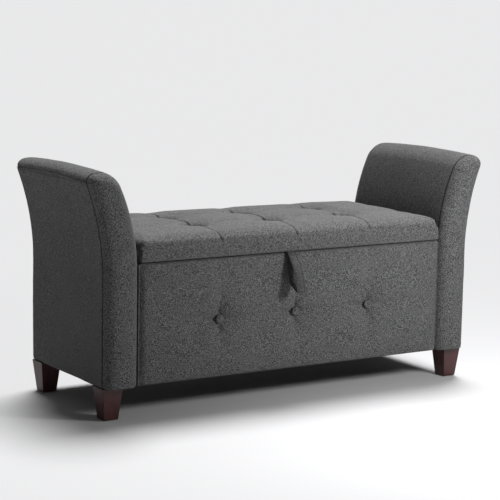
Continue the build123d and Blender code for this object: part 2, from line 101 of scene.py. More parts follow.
# ---- sizes and colours --------------------------------------------------------------------------
class BenchCloth(bpy.types.PropertyGroup):
    """The woven upholstery fabric."""

    dark: tint("Dark yarn", (0.010, 0.010, 0.0102), "Colour of the darker yarn")
    light: tint("Light yarn", (0.112, 0.112, 0.113), "Colour of the lighter yarn")
    thread: length("Thread", 0.0012, "Distance between threads")
    slub: length("Slub", 0.009, "Length of a thick place in the yarn")
    mottle: length("Mottle", 0.0021, "Size of the lighter and darker flecks")


class BenchArms(bpy.types.PropertyGroup):
    """The padded arms."""

    inner_bend: length("Inner bend", 0.395, "Height where the inner face starts to lean out")
    outer_bend: length("Outer bend", 0.380, "Height where the outer face starts to lean out")
    inner_radius: length("Inner radius", 0.556, "Radius of the inner face's bend")
    outer_radius: length("Outer radius", 0.700, "Radius of the outer face's bend")
    top_fall: length("Top fall", 0.004, "How far the top falls towards the outside")
    top_bulge: length("Top bulge", 0.005, "How far the padding swells along the top")
    inner_corner: length("Inner top corner", 0.036, "Where the rounding of the inner top corner starts")
    outer_corner: length("Outer top corner", 0.031, "Where the rounding of the outer top corner starts")
    base_corner: length("Lower corners", 0.012, "Where the rounding of the lower corners starts")
    front_round: length("Front rounding", 0.026, "Rounding of the padded front end")
    rear_round: length("Rear rounding", 0.030, "Rounding of the padded rear end")
    front_dome: length("Front dome", 0.008, "How far the front end swells forward")
    rear_dome: length("Rear dome", 0.002, "How far the rear end swells back")
    length_crown: length("Length crown", 0.008, "How far the top rises in the middle of its length")
    end_fall: length("End fall", 0.0015, "How far the top falls at its two ends")
    band_seam: length("Band seam", 0.642, "Height of the seam along the outer side")
    tuck: length("Tuck", 0.616, "Height of the small tuck beside the front seam")
    tuck_middle: length("Tuck middle", 0.008, "How far behind the front seam the tuck is deepest")
    tuck_depth: length("Tuck depth", 0.0016, "Depth of the tuck")
    tuck_width: length("Tuck width", 0.0028, "Half the width of the tuck")


class BenchSeams(bpy.types.PropertyGroup):
    """Seams and stitches."""

    depth: length("Depth", 0.0032, "How deep the cloth is drawn in along a seam")
    width: length("Width", 0.0026, "Half the width of the groove along a seam")
    welt: length("Welt", 0.0014, "Radius of the cord sewn into the front seams")
    stitch: length("Stitch", 0.0032, "Length of one stitch")
    stitch_gap: length("Stitch gap", 0.0013, "Distance between two stitches")
    stitch_radius: length("Thread radius", 0.0007, "Radius of the sewing thread")


class BenchLid(bpy.types.PropertyGroup):
    """The padded lid."""

    edge: length("Edge rounding", 0.019, "Rounding of the lid's upper edges")
    edge_height: length("Edge height", 0.0635, "Height of the lid's edge above its underside")
    crown: length("Crown", 0.013, "How far the middle of a pad rises above the edges")
    tuft_depth: length("Tuft depth", 0.034, "How deep the buttons are pulled in")
    tuft_radius: length("Tuft radius", 0.026, "Radius of the steep part of a tuft")
    valley: length("Valley", 0.0045, "Depth of the soft valleys that run front to back through the tufts")
    valley_width: length("Valley width", 0.030, "Half the width of those valleys")
    cross_valley: length("Cross valley", 0.0036, "Depth of the soft valleys that run along the lid")
    cross_width: length("Cross valley width", 0.026, "Half the width of the valleys that run along the lid")
    held: length("Held", 0.024, "How near a button the padding can't press the cloth out")
    puff: length("Puff", 0.003, "How far the padding may press the cloth out")
    fold: length("Fold", 0.0095, "Depth of the folds that run front to back through the tufts")
    front_roll: length("Front roll", 0.003, "How far the front edge swells forward")
    under: length("Under", 0.0022, "Rounding of the lid's lower edges")


class BenchFront(bpy.types.PropertyGroup):
    """The padded front panel."""

    edge: length("Edge rounding", 0.006, "Rounding of the panel's edges")
    swell: length("Swell", 0.0060, "How far the panel swells forward")
    side_fall: length("Side fall", 0.011, "How far the padding falls back at the panel's two sides")
    side_round: length("Side round", 0.010, "How near its sides the padding falls back")
    dimple: length("Dimple", 0.0195, "How deep the buttons pull the panel in")
    dimple_radius: length("Dimple radius", 0.026, "Radius of a dimple between its folds")
    star: length("Star", 0.034, "How much further a dimple reaches along its four folds")
    pleat: length("Pleat", 0.0030, "Depth of the four folds at a button")
    deepest: length("Deepest", 0.0145, "How far back the panel may be drawn in at most")
    board_gap: length("Board gap", 0.0012, "How far the cloth stays in front of the board behind it")
    held: length("Held", 0.030, "How near a button the padding can't press the cloth out")
    puff: length("Puff", 0.0015, "How far the padding may press the cloth out")


class BenchButtons(bpy.types.PropertyGroup):
    """The covered buttons."""

    radius: length("Radius", 0.0128, "Radius of a button")
    rise: length("Rise", 0.0062, "Height of a button's dome")
    segments: IntProperty(name="Segments", default=40, min=12, description="Faces round a button")
    puckers: IntProperty(name="Puckers", default=9, min=0, description="Puckers in the cloth round a button")


class BenchStrap(bpy.types.PropertyGroup):
    """The folded pull strap."""

    thickness: length("Thickness", 0.0020, "Thickness of one layer of the band")
    stitch_inset: length("Stitch inset", 0.0032, "Distance from the band's edge to its stitches")
    # the groove's faces take the darkened cloth: painted shade in the groove
    groove: length("Groove", 0.0009, "Half the width of the shaded groove under the stitches")


class BenchStage(bpy.types.PropertyGroup):
    """Floor, lights and camera."""

    azimuth: FloatProperty(name="Azimuth", default=radians(32.6), subtype="ANGLE", description="Camera turn")
    elevation: FloatProperty(
        name="Elevation", default=radians(8.73), subtype="ANGLE", description="Camera height"
    )
    roll: FloatProperty(name="Roll", default=radians(1.1), subtype="ANGLE", description="Camera roll")
    distance: length("Distance", 5.073, "From the camera to the bench")
    lens: plain("Lens", 125.72, "Focal length on a 36 mm sensor, in millimetres")
    aim: FloatVectorProperty(
        name="Aim", default=(-0.006, 0.0397, 0.0598), subtype="TRANSLATION",
        description="The point looked at, from the middle of the bench",
    )
    floor: tint("Floor", (0.36, 0.36, 0.365), "Colour of the floor")
    floor_reach: length("Floor reach", 1500.0, "From the middle of the floor to its edges")
    key: plain("Key", 20.0, "Power of the lamp at the front right, in watts")
    key_size: length("Key size", 0.34, "Width of the lamp at the front right")
    key_place: FloatVectorProperty(
        name="Key place", default=(0.50, -1.24, 0.50), subtype="TRANSLATION",
        description="The lamp's place, from the middle of the bench",
    )
    top: plain("Top", 6.7, "Strength of the light from above")
    top_source: FloatVectorProperty(
        name="Top source", default=(0.24, 0.30, 1.0), subtype="XYZ",
        description="The direction that the light from above comes from",
    )
    top_angle: FloatProperty(
        name="Top angle", default=radians(28), subtype="ANGLE", description="Width of the light from above"
    )
    sky: plain("Sky", 0.15, "Strength of the light from all round")


GROUPS = {
    "bench_cloth": BenchCloth, "bench_arms": BenchArms, "bench_seams": BenchSeams,
    "bench_lid": BenchLid, "bench_front": BenchFront, "bench_buttons": BenchButtons,
    "bench_strap": BenchStrap, "bench_stage": BenchStage,
}


# ---- outlines -----------------------------------------------------------------------------------
def along(points):
    """Distance from the first point to each point of a line."""
    steps = np.linalg.norm(np.diff(points, axis=0), axis=1)
    return np.concatenate([[0.0], np.cumsum(steps)])


def resample(points, shares):
    """Points at the given shares of a line's length."""
    run = along(points)
    places = np.asarray(shares) * run[-1]
    return np.stack([np.interp(places, run, points[:, k]) for k in range(points.shape[1])], 1)


def trimmed(points, start, end):
    """A line without its first and last stretch."""
    run = along(points)
    keep = (run > start) & (run < run[-1] - end)
    ends = resample(points, [start / run[-1], 1 - end / run[-1]])
    return np.concatenate([ends[:1], points[keep], ends[1:]])


def bridge(before, after, corner, steps=24):
    """A smooth curve from the end of one line to the start of the next, round the corner between them."""
    reach = 0.55
    a, d = before[-1], after[0]
    b, c = a + reach * (corner - a), d + reach * (corner - d)
    t = np.linspace(0, 1, steps + 1)[:, None]
    return (1 - t) ** 3 * a + 3 * t * (1 - t) ** 2 * b + 3 * t**2 * (1 - t) * c + t**3 * d


def rounded_path(corners, cuts):
    """An open line through the corners, rounded at each inner corner from its cut distance."""
    corners = [np.array(c, float) for c in corners]
    cuts = [0.0, *cuts, 0.0]
    legs = [
        trimmed(np.stack([a, (a + b) / 2, b]), cuts[k], cuts[k + 1])
        for k, (a, b) in enumerate(zip(corners, corners[1:]))
    ]
    pieces = [legs[0]]
    for k, leg in enumerate(legs[1:], start=1):
        pieces += [bridge(pieces[-1], leg, corners[k])[1:-1], leg]
    return np.concatenate(pieces)


def edge_shares(span, rounding, step, arc_steps=6):
    """Shares across a span that lie close together where its two ends are rounded."""
    arc = rounding * (1 - np.cos(np.linspace(0, pi / 2, arc_steps + 1)))
    middle = np.linspace(rounding, span - rounding, max(2, int((span - 2 * rounding) / step)) + 1)
    return np.concatenate([arc, middle[1:-1], (span - arc)[::-1]]) / span


def distance_to(points, outline, chunk=2000):
    """Each point's distance to an outline, both in two dimensions, for a chunk of points at a time."""
    start, end = outline[:-1], outline[1:]
    run = end - start
    square = np.maximum((run**2).sum(1), 1e-16)
    nearest = np.empty(len(points))
    for low in range(0, len(points), chunk):
        p = points[low : low + chunk, None, :]
        t = np.clip(((p - start) * run).sum(2) / square, 0, 1)
        gap = p - (start + t[..., None] * run)
        nearest[low : low + chunk] = np.sqrt((gap**2).sum(2).min(1))
    return nearest


def bell(distance, width):
    """1 at no distance, falling away smoothly over the width."""
    return np.exp(-((distance / width) ** 2))


def ramp(distance, width):
    """0 up to no distance, then rising evenly to 1 over the width."""
    return np.clip(distance / width, 0, 1)


# ---- meshes -------------------------------------------------------------------------------------
def grid_faces(rows, columns, closed=False, first=0):
    """Four-sided faces over a grid of points in row order."""
    wide = columns if closed else columns - 1
    return [
        (first + r * columns + c, first + r * columns + (c + 1) % columns,
         first + (r + 1) * columns + (c + 1) % columns, first + (r + 1) * columns + c)
        for r in range(rows - 1) for c in range(wide)
    ]


def make_mesh(name, points, faces, material=None, weld=True):
    """A smooth-shaded object from points and faces, welded at doubled points, its faces turned outward."""
    mesh = bpy.data.meshes.new(name)
    mesh.from_pydata([tuple(p) for p in points], [], [tuple(f) for f in faces])
    shell = bmesh.new()
    shell.from_mesh(mesh)
    if weld:
        bmesh.ops.remove_doubles(shell, verts=shell.verts, dist=1e-6)
    bmesh.ops.recalc_face_normals(shell, faces=shell.faces)
    shell.to_mesh(mesh)
    shell.free()
    for face in mesh.polygons:
        face.use_smooth = True
    obj = bpy.data.objects.new(name, mesh)
    bpy.context.scene.collection.objects.link(obj)
    if material is not None:
        mesh.materials.append(material)
    return obj


def joined_mesh(name, parts, material, weld=True):
    """One object from several pieces, each given as its points and faces."""
    points, faces = [], []
    for more, these in parts:
        faces += [tuple(k + len(points) for k in face) for face in these]
        points += list(more)
    return make_mesh(name, points, faces, material, weld)


def coordinates(obj):
    """The object's points as an array."""
    flat = np.empty(len(obj.data.vertices) * 3)
    obj.data.vertices.foreach_get("co", flat)
    return flat.reshape(-1, 3)


def normals(obj):
    """The object's outward directions at its points as an array."""
    flat = np.empty(len(obj.data.vertices) * 3, np.float32)
    obj.data.vertices.foreach_get("normal", flat)
    return flat.reshape(-1, 3).astype(float)


def move_points(obj, points):
    """Puts the object's points where the array says."""
    obj.data.vertices.foreach_set("co", np.asarray(points, np.float32).ravel())
    obj.data.update()


def press_out(obj, lift):
    """Moves each point outward by its lift, or inward where the lift is below zero."""
    move_points(obj, coordinates(obj) + normals(obj) * lift[:, None])


def draw_in(obj, gap, depth, width):
    """Pulls the cloth in along a seam; gap is each point's distance from it."""
    press_out(obj, -depth * bell(gap, width))


def baked(obj):
    """Replaces the object's mesh by what its modifiers make of it."""
    depsgraph = bpy.context.evaluated_depsgraph_get()
    mesh = bpy.data.meshes.new_from_object(obj.evaluated_get(depsgraph))
    obj.modifiers.clear()
    obj.data = mesh
    mesh.name = obj.name
    return obj


def subdivide(obj):
    """Smooths the mesh into smaller faces."""
    smooth = obj.modifiers.new("Smooth", "SUBSURF")
    smooth.levels = smooth.render_levels = 1
    return baked(obj)


CLOTH_FRAMES = 14
CLOTH_SETTINGS = {
    "quality": 5, "mass": 0.3, "tension_stiffness": 15, "compression_stiffness": 15, "bending_stiffness": 0.5,
    "use_pressure": True,
}


def inflate(obj, held, pressure, cap):
    """Lets padding press the cloth outward round the held points, by no more than the cap."""
    start = coordinates(obj)
    group = obj.vertex_groups.new(name="held")
    group.add([int(k) for k in np.flatnonzero(held)], 1.0, "REPLACE")
    cloth = obj.modifiers.new("Cloth", "CLOTH")
    cloth.point_cache.frame_start, cloth.point_cache.frame_end = 1, CLOTH_FRAMES
    for key, value in CLOTH_SETTINGS.items():
        setattr(cloth.settings, key, value)
    cloth.settings.uniform_pressure_force = pressure
    cloth.settings.effector_weights.gravity = 0.0
    cloth.settings.vertex_group_mass = group.name
    scene = bpy.context.scene
    for number in range(1, CLOTH_FRAMES + 1):
        scene.frame_set(number)
    shown = obj.evaluated_get(bpy.context.evaluated_depsgraph_get())
    shift = coordinates(shown) - start
    size = np.linalg.norm(shift, axis=1, keepdims=True)
    shift *= np.minimum(1.0, cap / np.maximum(size, 1e-9))
    obj.modifiers.clear()
    obj.vertex_groups.clear()
    scene.frame_set(1)
    move_points(obj, start + np.nan_to_num(shift))


SEED_STEPS = (7.3, 3.1, 5.7)  # how far the noise is shifted in X, Y and Z from one seed to the next


def unevenness(points, scale, seed):
    """Smooth random values from about -1 to 1 over the points, the same on each run."""
    shift = Vector([seed * step for step in SEED_STEPS])
    return np.array([noise.noise(Vector(p) / scale + shift) for p in points])


# for each stuffed piece: depth and size of its broad unevenness, depth and size of its fine one, and a seed
SOFTNESS = {
    "arm": (0.0011, 0.110, 0.00035, 0.028, 1),
    "facing": (0.0009, 0.090, 0.00030, 0.025, 3),
    "lid": (0.0011, 0.075, 0.00040, 0.022, 5),
    "front": (0.0009, 0.090, 0.00030, 0.024, 7),
}


def softness(points, piece):
    """The unevenness of a stuffed piece at its points."""
    depth, size, fine_depth, fine_size, seed = SOFTNESS[piece]
    return depth * unevenness(points, size, seed) + fine_depth * unevenness(points, fine_size, seed + 1)


def settle(obj, body, replaces=()):
    """Says what a finished piece rides on and stands for."""
    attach(obj, body)
    if replaces:
        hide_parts(*replaces)
    return obj


def mirrored(obj, name):
    """The same piece on the other side of the bench."""
    points = coordinates(obj) * (-1, 1, 1)
    faces = [tuple(reversed(f.vertices)) for f in obj.data.polygons]
    return make_mesh(name, points, faces, obj.data.materials[0] if obj.data.materials else None, weld=False)


def tube(path, radius, sides=8, closed=False):
    """Points and faces of a round cord along a line of points."""
    path = np.asarray(path, float)
    ahead = np.roll(path, -1, 0) - np.roll(path, 1, 0)
    if not closed:
        ahead[0], ahead[-1] = path[1] - path[0], path[-1] - path[-2]
    ahead /= np.linalg.norm(ahead, axis=1, keepdims=True)
    points = []
    side = Vector((0, 1, 0)) if abs(ahead[0][1]) < 0.9 else Vector((1, 0, 0))
    for place, way in zip(path, ahead):
        way = Vector(way)
        side = (side - way * side.dot(way)).normalized()
        across = way.cross(side)
        for k in range(sides):
            turn = tau * k / sides
            points.append(Vector(place) + radius * (cos(turn) * side + sin(turn) * across))
    faces = grid_faces(len(path), sides, closed=True)
    if not closed:
        faces += [tuple(range(sides))[::-1], tuple(range(len(points) - sides, len(points)))]
    return points, faces


# ---- node groups --------------------------------------------------------------------------------
class Wiring:
    """Short calls that add and join shader nodes in one tree."""

    def __init__(self, tree):
        self.tree = tree

    def node(self, kind, inputs=None, **settings):
        made = self.tree.nodes.new(kind)
        for key, value in settings.items():
            setattr(made, key, value)
        for key, value in (inputs or {}).items():
            self.feed(value, made.inputs[key])
        return made

    def feed(self, value, socket):
        if isinstance(value, bpy.types.NodeSocket):
            self.tree.links.new(value, socket)
        else:
            socket.default_value = value

    def math(self, operation, a, b=0.0, c=0.0, clamp=False):
        made = self.node("ShaderNodeMath", {0: a, 1: b, 2: c}, operation=operation, use_clamp=clamp)
        return made.outputs[0]

    def blend(self, share, a, b):
        return self.node("ShaderNodeMix", {0: share, 2: a, 3: b}, data_type="FLOAT").outputs[0]

    def colours(self, share, a, b):
        return self.node("ShaderNodeMix", {0: share, 6: a, 7: b}, data_type="RGBA").outputs[2]

    def noise(self, vector, scale, detail=2.0, roughness=0.5):
        inputs = {"Vector": vector, "Scale": scale, "Detail": detail, "Roughness": roughness}
        return self.node("ShaderNodeTexNoise", inputs).outputs["Fac"]

    def vector(self, x, y, z=0.0):
        return self.node("ShaderNodeCombineXYZ", {0: x, 1: y, 2: z}).outputs[0]


def new_group(name, inputs, outputs):
    """A node group with named sockets; inputs give (name, kind, default), outputs (name, kind)."""
    tree = bpy.data.node_groups.new(name, "ShaderNodeTree")
    for label, kind, default in inputs:
        socket = tree.interface.new_socket(name=label, in_out="INPUT", socket_type="NodeSocket" + kind)
        socket.default_value = default
    for label, kind in outputs:
        tree.interface.new_socket(name=label, in_out="OUTPUT", socket_type="NodeSocket" + kind)
    wiring = Wiring(tree)
    return tree, wiring, wiring.node("NodeGroupInput").outputs, wiring.node("NodeGroupOutput").inputs


SURFACE = [("Color", "Color"), ("Height", "Float"), ("Roughness", "Float")]


def flat_coordinates():
    """Group: lays a surface flat from the side that it faces most, so that threads keep their size on it."""
    outputs = [("Across", "Float"), ("Up", "Float"), ("Place", "Vector")]
    tree, w, _, out = new_group("flat_coordinates", [], outputs)
    source = w.node("ShaderNodeTexCoord")
    place = w.node("ShaderNodeSeparateXYZ", {0: source.outputs["Object"]}).outputs
    facing = w.node("ShaderNodeVectorMath", {0: source.outputs["Normal"]}, operation="ABSOLUTE").outputs[0]
    x, y, z = w.node("ShaderNodeSeparateXYZ", {0: facing}).outputs
    sideways = w.math("MULTIPLY", w.math("GREATER_THAN", x, y), w.math("GREATER_THAN", x, z))
    level = w.math("MULTIPLY", w.math("GREATER_THAN", z, x), w.math("GREATER_THAN", z, y))
    w.feed(w.blend(sideways, place[0], place[1]), out["Across"])
    w.feed(w.blend(level, place[2], place[1]), out["Up"])
    w.feed(source.outputs["Object"], out["Place"])
    return tree


# the weave's middle tone between its two yarns, and how strongly yarns, flecks and broad clouds change it
MIDDLE_TONE, YARN_STRENGTH, FLECK_STRENGTH, CLOUD_STRENGTH = 0.36, 2.6, 5.4, 0.25


def woven_cloth(flat):
    """Group: plain weave of two yarns with slubs and flecks."""
    inputs = [
        ("Dark", "Color", (0.04, 0.04, 0.04, 1)), ("Light", "Color", (0.15, 0.15, 0.15, 1)),
        ("Thread", "Float", 0.0012), ("Slub", "Float", 0.009), ("Mottle", "Float", 0.004),
        ("Contrast", "Float", 1.0),
    ]
    tree, w, given, out = new_group("woven_cloth", inputs, SURFACE)
    lay = w.node("ShaderNodeGroup", node_tree=flat).outputs
    warp = w.math("DIVIDE", lay["Across"], given["Thread"])
    weft = w.math("DIVIDE", lay["Up"], given["Thread"])
    warp_wave, weft_wave = [w.math("SINE", w.math("MULTIPLY", run, pi)) for run in (warp, weft)]
    weave = w.math("MULTIPLY_ADD", w.math("MULTIPLY", warp_wave, weft_wave), 0.5, 0.5)
    long_across = w.math("DIVIDE", lay["Across"], given["Slub"])
    long_up = w.math("DIVIDE", lay["Up"], given["Slub"])
    weft_yarn = w.noise(w.vector(long_across, weft), 1.0, 2.0, 0.55)
    warp_yarn = w.noise(w.vector(warp, long_up, 7.0), 1.0, 2.0, 0.55)
    yarn = w.blend(weave, weft_yarn, warp_yarn)
    flecks = w.noise(lay["Place"], w.math("DIVIDE", 1.0, given["Mottle"]), 1.0, 0.5)
    cloud = w.noise(lay["Place"], 9.0, 2.0, 0.5)
    fleck_strength = w.math("MULTIPLY", given["Contrast"], FLECK_STRENGTH)
    tone = w.math("MULTIPLY_ADD", w.math("SUBTRACT", yarn, 0.5), YARN_STRENGTH, MIDDLE_TONE)
    tone = w.math("MULTIPLY_ADD", w.math("SUBTRACT", flecks, 0.5), fleck_strength, tone)
    tone = w.math("MULTIPLY_ADD", w.math("SUBTRACT", cloud, 0.5), CLOUD_STRENGTH, tone, clamp=True)
    tone = w.math("MULTIPLY", tone, w.math("MULTIPLY_ADD", weave, 0.5, 0.75))
    w.feed(w.colours(tone, given["Dark"], given["Light"]), out["Color"])
    relief = w.math("ADD", w.math("MULTIPLY", weave, 0.6), w.math("MULTIPLY", flecks, 0.9))
    w.feed(relief, out["Height"])
    w.feed(w.math("MULTIPLY_ADD", yarn, 0.16, 0.84, clamp=True), out["Roughness"])
    return tree


def wood_grain():
    """Group: long streaks and pores along Z."""
    inputs = [
        ("Dark", "Color", (0.02, 0.004, 0.003, 1)), ("Light", "Color", (0.1, 0.02, 0.015, 1)),
        ("Scale", "Float", 90.0), ("Stretch", "Float", 0.06),
    ]
    tree, w, given, out = new_group("wood_grain", inputs, SURFACE)
    place = w.node("ShaderNodeSeparateXYZ", {0: w.node("ShaderNodeTexCoord").outputs["Object"]}).outputs
    along_grain = w.math("MULTIPLY", place[2], given["Stretch"])
    spot = w.vector(place[0], place[1], along_grain)
    bands = w.noise(spot, given["Scale"], 3.0, 0.55)
    rings = w.math("MULTIPLY_ADD", w.math("SINE", w.math("MULTIPLY", bands, 26.0)), 0.5, 0.5)
    pores = w.noise(spot, w.math("MULTIPLY", given["Scale"], 9.0), 2.0, 0.6)
    tone = w.math("ADD", w.math("MULTIPLY", rings, 0.45), w.math("MULTIPLY", pores, 0.55), clamp=True)
    w.feed(w.colours(tone, given["Dark"], given["Light"]), out["Color"])
    w.feed(pores, out["Height"])
    w.feed(w.math("MULTIPLY_ADD", pores, 0.22, 0.36), out["Roughness"])
    return tree


def surface_wear():
    """Group: fine scratches and smudges."""
    inputs = [("Base", "Color", (0.5, 0.5, 0.5, 1)), ("Worn", "Color", (0.7, 0.7, 0.7, 1)),
              ("Scale", "Float", 120.0), ("Rough", "Float", 0.35)]
    tree, w, given, out = new_group("surface_wear", inputs, SURFACE)
    place = w.node("ShaderNodeTexCoord").outputs["Object"]
    smudge = w.noise(place, given["Scale"], 4.0, 0.6)
    grain = w.noise(place, w.math("MULTIPLY", given["Scale"], 14.0), 2.0, 0.6)
    mask = w.math("MULTIPLY_ADD", w.math("SUBTRACT", smudge, 0.42), 2.2, 0.0, clamp=True)
    w.feed(w.colours(mask, given["Base"], given["Worn"]), out["Color"])
    w.feed(grain, out["Height"])
    w.feed(w.math("MULTIPLY_ADD", smudge, 0.25, given["Rough"], clamp=True), out["Roughness"])
    return tree


# ---- materials ----------------------------------------------------------------------------------
def finish_from(name, group, values, bump, height, metallic=0.0, sheen=0.0, coat=0.0):
    """A material whose colour, roughness and relief come from a node group."""
    material = bpy.data.materials.new(name)
    material.use_nodes = True
    w = Wiring(material.node_tree)
    surface = w.node("ShaderNodeGroup", values, node_tree=group).outputs
    relief = w.node("ShaderNodeBump", {"Height": surface["Height"], "Strength": bump, "Distance": height})
    shader = material.node_tree.nodes["Principled BSDF"].inputs
    w.feed(surface["Color"], shader["Base Color"])
    w.feed(surface["Roughness"], shader["Roughness"])
    w.feed(relief.outputs[0], shader["Normal"])
    gloss = {"Metallic": metallic, "Sheen Weight": sheen, "Sheen Roughness": 0.5, "Coat Weight": coat}
    for label, value in gloss.items():
        shader[label].default_value = value
    return material


def cloth_finish(name, groups, dark, light, cloth, shade=1.0, contrast=1.0):
    """A woven cloth; shade darkens both of its yarns."""
    values = {
        "Dark": (*[c * shade for c in dark], 1), "Light": (*[c * shade for c in light], 1),
        "Thread": cloth.thread, "Slub": cloth.slub, "Mottle": cloth.mottle, "Contrast": contrast,
    }
    return finish_from(name, groups["cloth"], values, 0.55, 0.0006, sheen=0.04)


def make_finishes(cloth):
    """Every material by name."""
    flat = flat_coordinates()
    groups = {"cloth": woven_cloth(flat), "wood": wood_grain(), "wear": surface_wear()}

    def worn(name, base, worn_colour, scale, rough, bump=0.1, height=0.0002, metallic=0.0):
        values = {"Base": (*base, 1), "Worn": (*worn_colour, 1), "Scale": scale, "Rough": rough}
        return finish_from(name, groups["wear"], values, bump, height, metallic)

    def wooden(name, dark, light, scale, stretch, coat=0.0):
        values = {"Dark": (*dark, 1), "Light": (*light, 1), "Scale": scale, "Stretch": stretch}
        return finish_from(name, groups["wood"], values, 0.12, 0.0003, coat=coat)

    black, dark_grey = (0.012, 0.012, 0.013), (0.05, 0.05, 0.052)
    dark_stain, light_stain = (0.020, 0.0030, 0.0028), (0.055, 0.0078, 0.0070)
    return {
        "cover_cloth": cloth_finish("cover_cloth", groups, cloth.dark, cloth.light, cloth),
        # the cover cloth darkened to a fifth: painted shade for the welt cords, the button rims and the
        # strap's stitch grooves
        "painted_shade_cloth": cloth_finish("painted_shade_cloth", groups, cloth.dark, cloth.light, cloth, shade=0.2),
        "strap_cloth": cloth_finish("strap_cloth", groups, cloth.dark, cloth.light, cloth, shade=0.52),
        "lining_cloth": cloth_finish("lining_cloth", groups, black, dark_grey, cloth, contrast=0.5),
        "thread": worn("thread", (0.008, 0.008, 0.008), (0.02, 0.02, 0.02), 900.0, 0.6),
        "leg_wood": wooden("leg_wood", dark_stain, light_stain, 70.0, 0.07, coat=0.03),
        "raw_wood": wooden("raw_wood", (0.30, 0.19, 0.10), (0.58, 0.43, 0.27), 60.0, 0.08),
        "foam": worn("foam", (0.62, 0.56, 0.38), (0.74, 0.69, 0.52), 220.0, 0.7, 0.6, 0.001),
        "zinc": worn("zinc", (0.52, 0.53, 0.54), (0.68, 0.68, 0.67), 160.0, 0.22, metallic=1.0),
        "black_steel": worn("black_steel", (0.018, 0.018, 0.019), (0.05, 0.05, 0.05), 140.0, 0.38),
        "nylon": worn("nylon", (0.03, 0.026, 0.022), (0.06, 0.052, 0.046), 260.0, 0.4),
        "rubber": worn("rubber", (0.016, 0.016, 0.016), (0.035, 0.035, 0.035), 300.0, 0.7),
    }


FINISHES = {}  # the materials by name, filled by the first operator


# ---- arms ---------------------------------------------------------------------------------------
ArmGrid = namedtuple("ArmGrid", "sides wide tall ring outline")
ARM_STEPS = (0.007, 0.0065)  # distance between mesh lines across and up an arm's ends
OUTER_SLOPE = 0.2  # an arm's faces that point outward by more than this are its outer side


def arm_ends():
    """Where the right arm starts and ends in Y."""
    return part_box("right_arm_front_facing")[0].y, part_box("right_arm_rear_facing")[1].y


def arm_sides(arms):
    """The arm's cross-section as four lines in X and Z: up the inner face, over, down and back."""
    inner_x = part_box("right_end_board")[1].x
    dust_low, dust_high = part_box("right_arm_dust_cloth")
    low, high = dust_low.z - 0.0015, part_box("right_arm_rear_facing")[1].z

    def face(x, bend, radius, top):
        z = np.linspace(low, top, 300)
        rise = np.maximum(z - bend, 0)
        return np.stack([x + radius - np.sqrt(radius**2 - rise**2), z], 1)

    inner = face(inner_x, arms.inner_bend, arms.inner_radius, high)
    outer = face(dust_high.x, arms.outer_bend, arms.outer_radius, high - arms.top_fall)[::-1]
    share = np.linspace(0, 1, 60)[:, None]
    over = inner[-1] * (1 - share) + outer[0] * share
    over[:, 1] += arms.top_bulge * np.sin(pi * share[:, 0])
    under = outer[-1] * (1 - share) + inner[0] * share
    lines = [inner, over, outer, under]
    cuts = [arms.base_corner, arms.inner_corner, arms.outer_corner, arms.base_corner]
    short = [trimmed(line, cuts[k], cuts[(k + 1) % 4]) for k, line in enumerate(lines)]
    bends = [bridge(short[k - 1], short[k], lines[k][0]) for k in range(4)]
    half = len(bends[0]) // 2
    return [np.concatenate([bends[k][half:-1], short[k], bends[(k + 1) % 4][1 : half + 1]]) for k in range(4)]


def arm_patch(grid):
    """Fills the cross-section with a grid of points that follows its four sides."""
    inner, outer = resample(grid.sides[0], grid.tall), resample(grid.sides[2][::-1], grid.tall)
    over, under = resample(grid.sides[1], grid.wide), resample(grid.sides[3][::-1], grid.wide)
    s, t = grid.wide[None, :, None], grid.tall[:, None, None]
    mixed = (1 - t) * under[None] + t * over[None] + (1 - s) * inner[:, None] + s * outer[:, None]
    low_corners = (1 - s) * (1 - t) * under[0] + s * (1 - t) * under[-1]
    return mixed - (low_corners + (1 - s) * t * over[0] + s * t * over[-1])


def rounded_end(points, outline, rounding, dome, half_width):
    """How far each point of an end lies behind the end's plane, and its distance from the outline.

    Near the arm's base that distance comes from the height, so the base edge is hardly rounded."""
    above = points[:, 1] - points[:, 1].min()
    base_slope, base_gap = 9, 0.0002
    gap = np.minimum(distance_to(points, outline), base_slope * above + base_gap)
    back = rounding - np.sqrt(np.maximum(rounding**2 - (rounding - np.minimum(gap, rounding)) ** 2, 0))
    return back - dome * (1 - (1 - np.minimum(gap / half_width, 1)) ** 2), gap


def arm_grid(arms):
    """The arm's sides, the shares of its grids, its outline in their steps, and the outline over its base."""
    sides = arm_sides(arms)
    wide = edge_shares(along(sides[1])[-1], arms.front_round, ARM_STEPS[0])
    tall = edge_shares(along(sides[0])[-1], arms.front_round, ARM_STEPS[1])
    shares = [tall, wide, 1 - tall[::-1], 1 - wide[::-1]]
    ring = np.concatenate([resample(side, steps)[:-1] for side, steps in zip(sides, shares)])
    outline = np.concatenate([resample(side, np.linspace(0, 1, 200))[:-1] for side in sides[:3]])
    return ArmGrid(sides, wide, tall, ring, outline)


def end_points(grid, plane, rounding, dome, way):
    """The points of a padded end; way is -1 for the front end and 1 for the rear end."""
    flat = arm_patch(grid).reshape(-1, 2)
    low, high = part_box("right_arm_dust_cloth")
    back, _ = rounded_end(flat, grid.outline, rounding, dome, (high.x - low.x) / 2)
    return np.stack([flat[:, 0], plane - way * back, flat[:, 1]], 1)


def crowned(points, arms):
    """The arm's points with its top bowed along its length, highest in the middle."""
    low, high = arm_ends()
    share = 2 * (points[:, 1] - low) / (high - low) - 1
    start, span = CAD_BOX[1].z * 0.75, CAD_BOX[1].z * 0.22  # the heights over which the bow sets in
    lift = ramp(points[:, 2] - start, span)
    points = points.copy()
    points[:, 2] += (arms.length_crown * (1 - share**2) - arms.end_fall) * lift * lift * (3 - 2 * lift)
    return points


